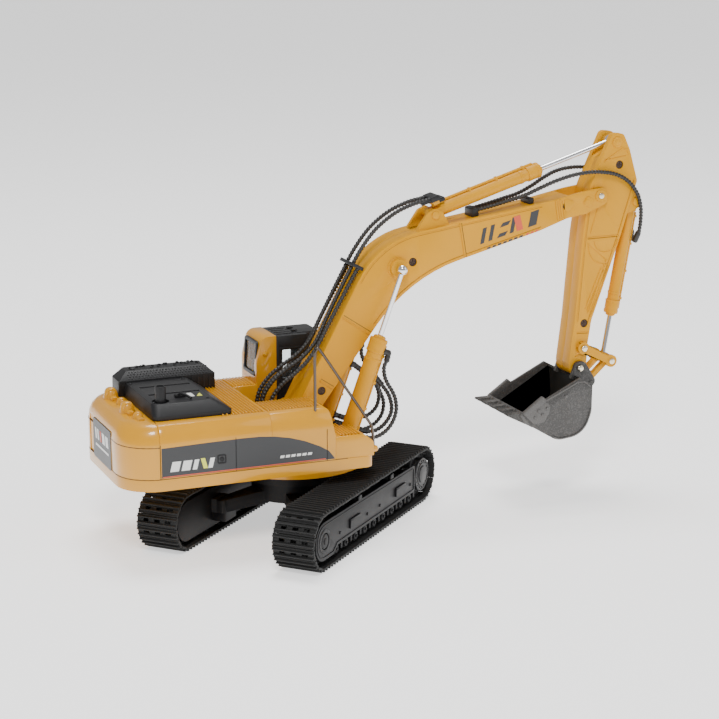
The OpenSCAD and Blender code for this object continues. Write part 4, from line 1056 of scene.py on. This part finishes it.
def gland(name, body, foot, head, y, r, length):
    """Bands round the end of a barrel, and the collar the rod comes out of."""
    a, axis = cylinder_line(foot, head, y)
    kit = Kit()
    for at, wide in ((length - 8.4, 0.18), (length - 5.2, 0.45), (length - 1.3, 0.45)):
        kit.lathe(a + axis * at, a + axis * (at + 1), [(0, r), (0.1, r + wide), (0.9, r + wide), (1, r)], 36)
    collar = [(0, r * 0.82), (0.9, r * 0.78), (1.3, r * 0.6), (1.3, 1.05)]
    kit.lathe(a + axis * (length - 0.2), a + axis * (length + 1.2), collar, 28)
    kit.piece(name, body, "boom_yellow")


def crimped(d):
    """Radius of the sleeve on a hose end at distance d."""
    return 1 + (0.12 if 0.3 < d % 1.3 < 1 else 0)


def cylinder_details():
    for word in ("right", "left"):
        softened(f"boom_barrel_{word}", f"{word}_boom_barrel", "boom_yellow", 0.2, smooth=40)
        softened(f"boom_rod_{word}", f"{word}_boom_rod", "chrome", 0.08)
    softened("arm_barrel", "arm_cylinder_barrel", "boom_yellow", 0.18, smooth=40)
    softened("arm_rod", "arm_cylinder_rod", "chrome")
    softened("bucket_barrel", "bucket_cylinder_barrel", "boom_yellow", 0.16, smooth=40)
    softened("bucket_rod", "bucket_cylinder_rod", "chrome")
    for side, word in SIDES:
        gland(f"boom_gland_{word}", f"{word}_boom_barrel", BOOM_CYL, BOOM_CYL_HEAD, side * BOOM_CYL_Y, 2.9, 42)
    gland("arm_gland", "arm_cylinder_barrel", ARM_CYL, ARM_CYL_HEAD, 0, 2.5, 46)
    gland("bucket_gland", "bucket_cylinder_barrel", BUCKET_CYL, LINK_PIN, 0, 2.3, 44)
    # hose fittings: a knuckle on the barrel and a crimped sleeve on each hose end
    foot, axis = cylinder_line(BOOM_CYL, BOOM_CYL_HEAD)
    out = Vector((axis.z, 0, -axis.x))
    ends = ((38, 1.2, 5.4, OUTER_LOOP, 1), (28, -1.2, 4.8, INNER_LOOP, 1), (5, 1.2, 4.4, OUTER_LOOP, -1),
            (8, -1.2, 4.4, INNER_LOOP, -1))
    for side, word in SIDES:
        kit = Kit()
        for at, dy, reach, loop, way in ends:
            y = side * (BOOM_CYL_Y + dy)
            p = foot + axis * at + Vector((0, y, 0))
            knuckle = [(0, 1.35), (0.9, 1.35), (1, 1.1), (reach - 2.7, 1.1), (reach - 2.4, 0.85)]
            kit.lathe(p + out * 2.4, p + out * reach, knuckle, 16)
            path, _ = smooth_path([(x, y, z) for x, z in loop[word][::way]], 0.3)
            kit.tube(path[1:14], crimped, 14)
        kit.piece(f"boom_cylinder_fittings_{word}", f"{word}_boom_barrel", "hose_black", bevel=0.06)
    kit = Kit()
    foot, axis = cylinder_line(ARM_CYL, ARM_CYL_HEAD)
    lean = Matrix.Translation(foot) @ Matrix.Rotation(-math.atan2(axis.z, axis.x), 4, "Y")
    kit.box((0.4, -3.8, 4.4), (4, 3.8, 6.4), lean, chamfer=0.3)
    kit.box((2.4, -2.6, 3.2), (6.2, 2.6, 4.8), lean, chamfer=0.3)
    nozzle = [(0, 1.1), (1, 1.1), (1.2, 0.95), (3.6, 0.95), (4, 0.8)]
    for y in (-2.6, 2.6):
        kit.lathe(lean @ Vector((0.6, y, 5.4)), lean @ Vector((-3.4, y, 5.4)), nozzle, 16)
    kit.piece("arm_cylinder_connector", "arm_cylinder_barrel", "cover_black", bevel=0.1)
    kit = Kit()
    sleeve = [(0, 0.95), (0.8, 1.15), (3.8, 1.15), (4.4, 0.9)]
    for side in (-1, 1):
        kit.lathe((140.7, side * 2.7, 99.4), (139.6, side * 1.44, 95.2), sleeve, 16)
    kit.piece("bucket_cylinder_connector", "bucket_cylinder_barrel", "hose_black", bevel=0.06)


boom()
arm()
cylinder_details()

# ---------------------------------------------------------------- bucket and its linkage


BUCKET_HALF = 14.95
TOOTH_PITCH = 6.4


def bucket():
    softened("guide_links", "guide_link_pair", "boom_yellow", 0.3)
    softened("link_pin", "guide_link_pair", "pin_metal")
    softened("bucket_link", "tipping_link", "boom_yellow", 0.3)
    softened("bucket", "bucket_body", "bucket_grey", 0.12, smooth=35)
    kit = Kit()
    for side in (-1, 1):
        kit.disc(LINK_PIN, 1.15, side * 7.1, side * 7.8, 0.2, 24)
    kit.piece("link_pin_heads", "guide_link_pair", "pin_metal")
    half = BUCKET_HALF
    back = [(115.2, 44.3, 0.2), (115.1, 34, 7.6), (112.3, 25.8, 8.7), (101.3, 24.6, 7.7), (90.3, 31.4, 0.2)]
    shell = dedupe(rounded(back), 0.5)
    edge = [(95.8, 40), (97.4, 40.8), (103, 43.2), (109.4, 46.2), (112.2, 46), (115, 43.8)]
    # the side cutter, a tab that steps up from the rim, and the cheek plate below it
    cutter = rounded([(96.5, 40.2, 0.2), (94.6, 42, 0.35), (86.3, 36.2, 0.3), (87.6, 35, 0.3)], 4)
    cheek = rounded([(90.9, 31.6, 0.4), (87.3, 35.4, 0.3), (94, 39, 1), (98.2, 40.9, 2), (97.4, 35.4, 3),
                     (95.4, 32, 1)], 4)
    kit = Kit()
    for side in (-1, 1):
        for line, wide in ((edge, 0.5), (shell[1:-1], 0.55)):
            kit.wall(ridge(line, wide), side, half - 0.2, half + 0.35)
        kit.wall(cutter, side, half - 1.15, half + 0.35)
        kit.wall(cheek, side, half - 0.2, half + 0.3)
        for bolt in ((96.5, 37.2), (92.9, 36.7), (94.6, 35), (91.4, 34.2), (104.4, 41.2)):
            kit.disc(bolt, 0.62, side * (half + 0.2), side * (half + 0.75), 0.14, 16)
    for y in (-11.2, 11.2):
        kit.prism([(112, 45.6), (115.6, 43.8), (116.2, 36), (115.2, 36), (114.4, 43)], y - 0.5, y + 0.5)
    # wear band across the heel, and a shroud over each tooth root
    kit.prism(ridge([(x + 0.1, z - 0.35) for x, z in shell if z < 28 and x > 96], 0.5), -half + 0.4, half - 0.4)
    for i in range(-2, 3):
        y = i * TOOTH_PITCH
        root = [(91.6, 31.4), (90.4, 33.6), (86.6, 36.6), (85.4, 35.4), (87.6, 32), (90.6, 30.3)]
        kit.prism(root, y - 2, y + 2)
        kit.prism([(85.8, 36.3), (81.4, 36.1), (81, 35.5), (85.4, 33.2)], y - 1.25, y + 1.25)
    for i in range(-2, 2):
        y = (i + 0.5) * TOOTH_PITCH
        kit.prism([(91.6, 31), (90.6, 33.2), (88.3, 34.2), (88, 33.5), (90.2, 30.9)], y - 1.1, y + 1.1)
    # the raised parts take the lighter grey: painted highlight
    kit.piece("bucket_rims", "bucket_body", "bucket_rim_highlight", "bucket_grey", bevel=0.12, smooth=35)
    # the dark inside of the shell
    outer = rounded([(112.6, 46.4, 0.4), (113.5, 34.6, 6.8), (111.4, 27.5, 7.2), (101.5, 26.3, 6.8),
                     (91, 32.9, 3), (90.6, 33.6, 0.2)], 8)
    inner = rounded([(112.2, 46.3, 0.4), (113.1, 34.6, 6.5), (111.1, 27.9, 6.9), (101.6, 26.7, 6.6),
                     (91.3, 33.4, 2.6), (90.9, 33.8, 0.2)], 8)
    kit = Kit().prism(outer + inner[::-1], -half + 1.2, half - 1.2)
    kit.piece("bucket_lining", "bucket_body", "bucket_inside", "bucket_grey")


bucket()
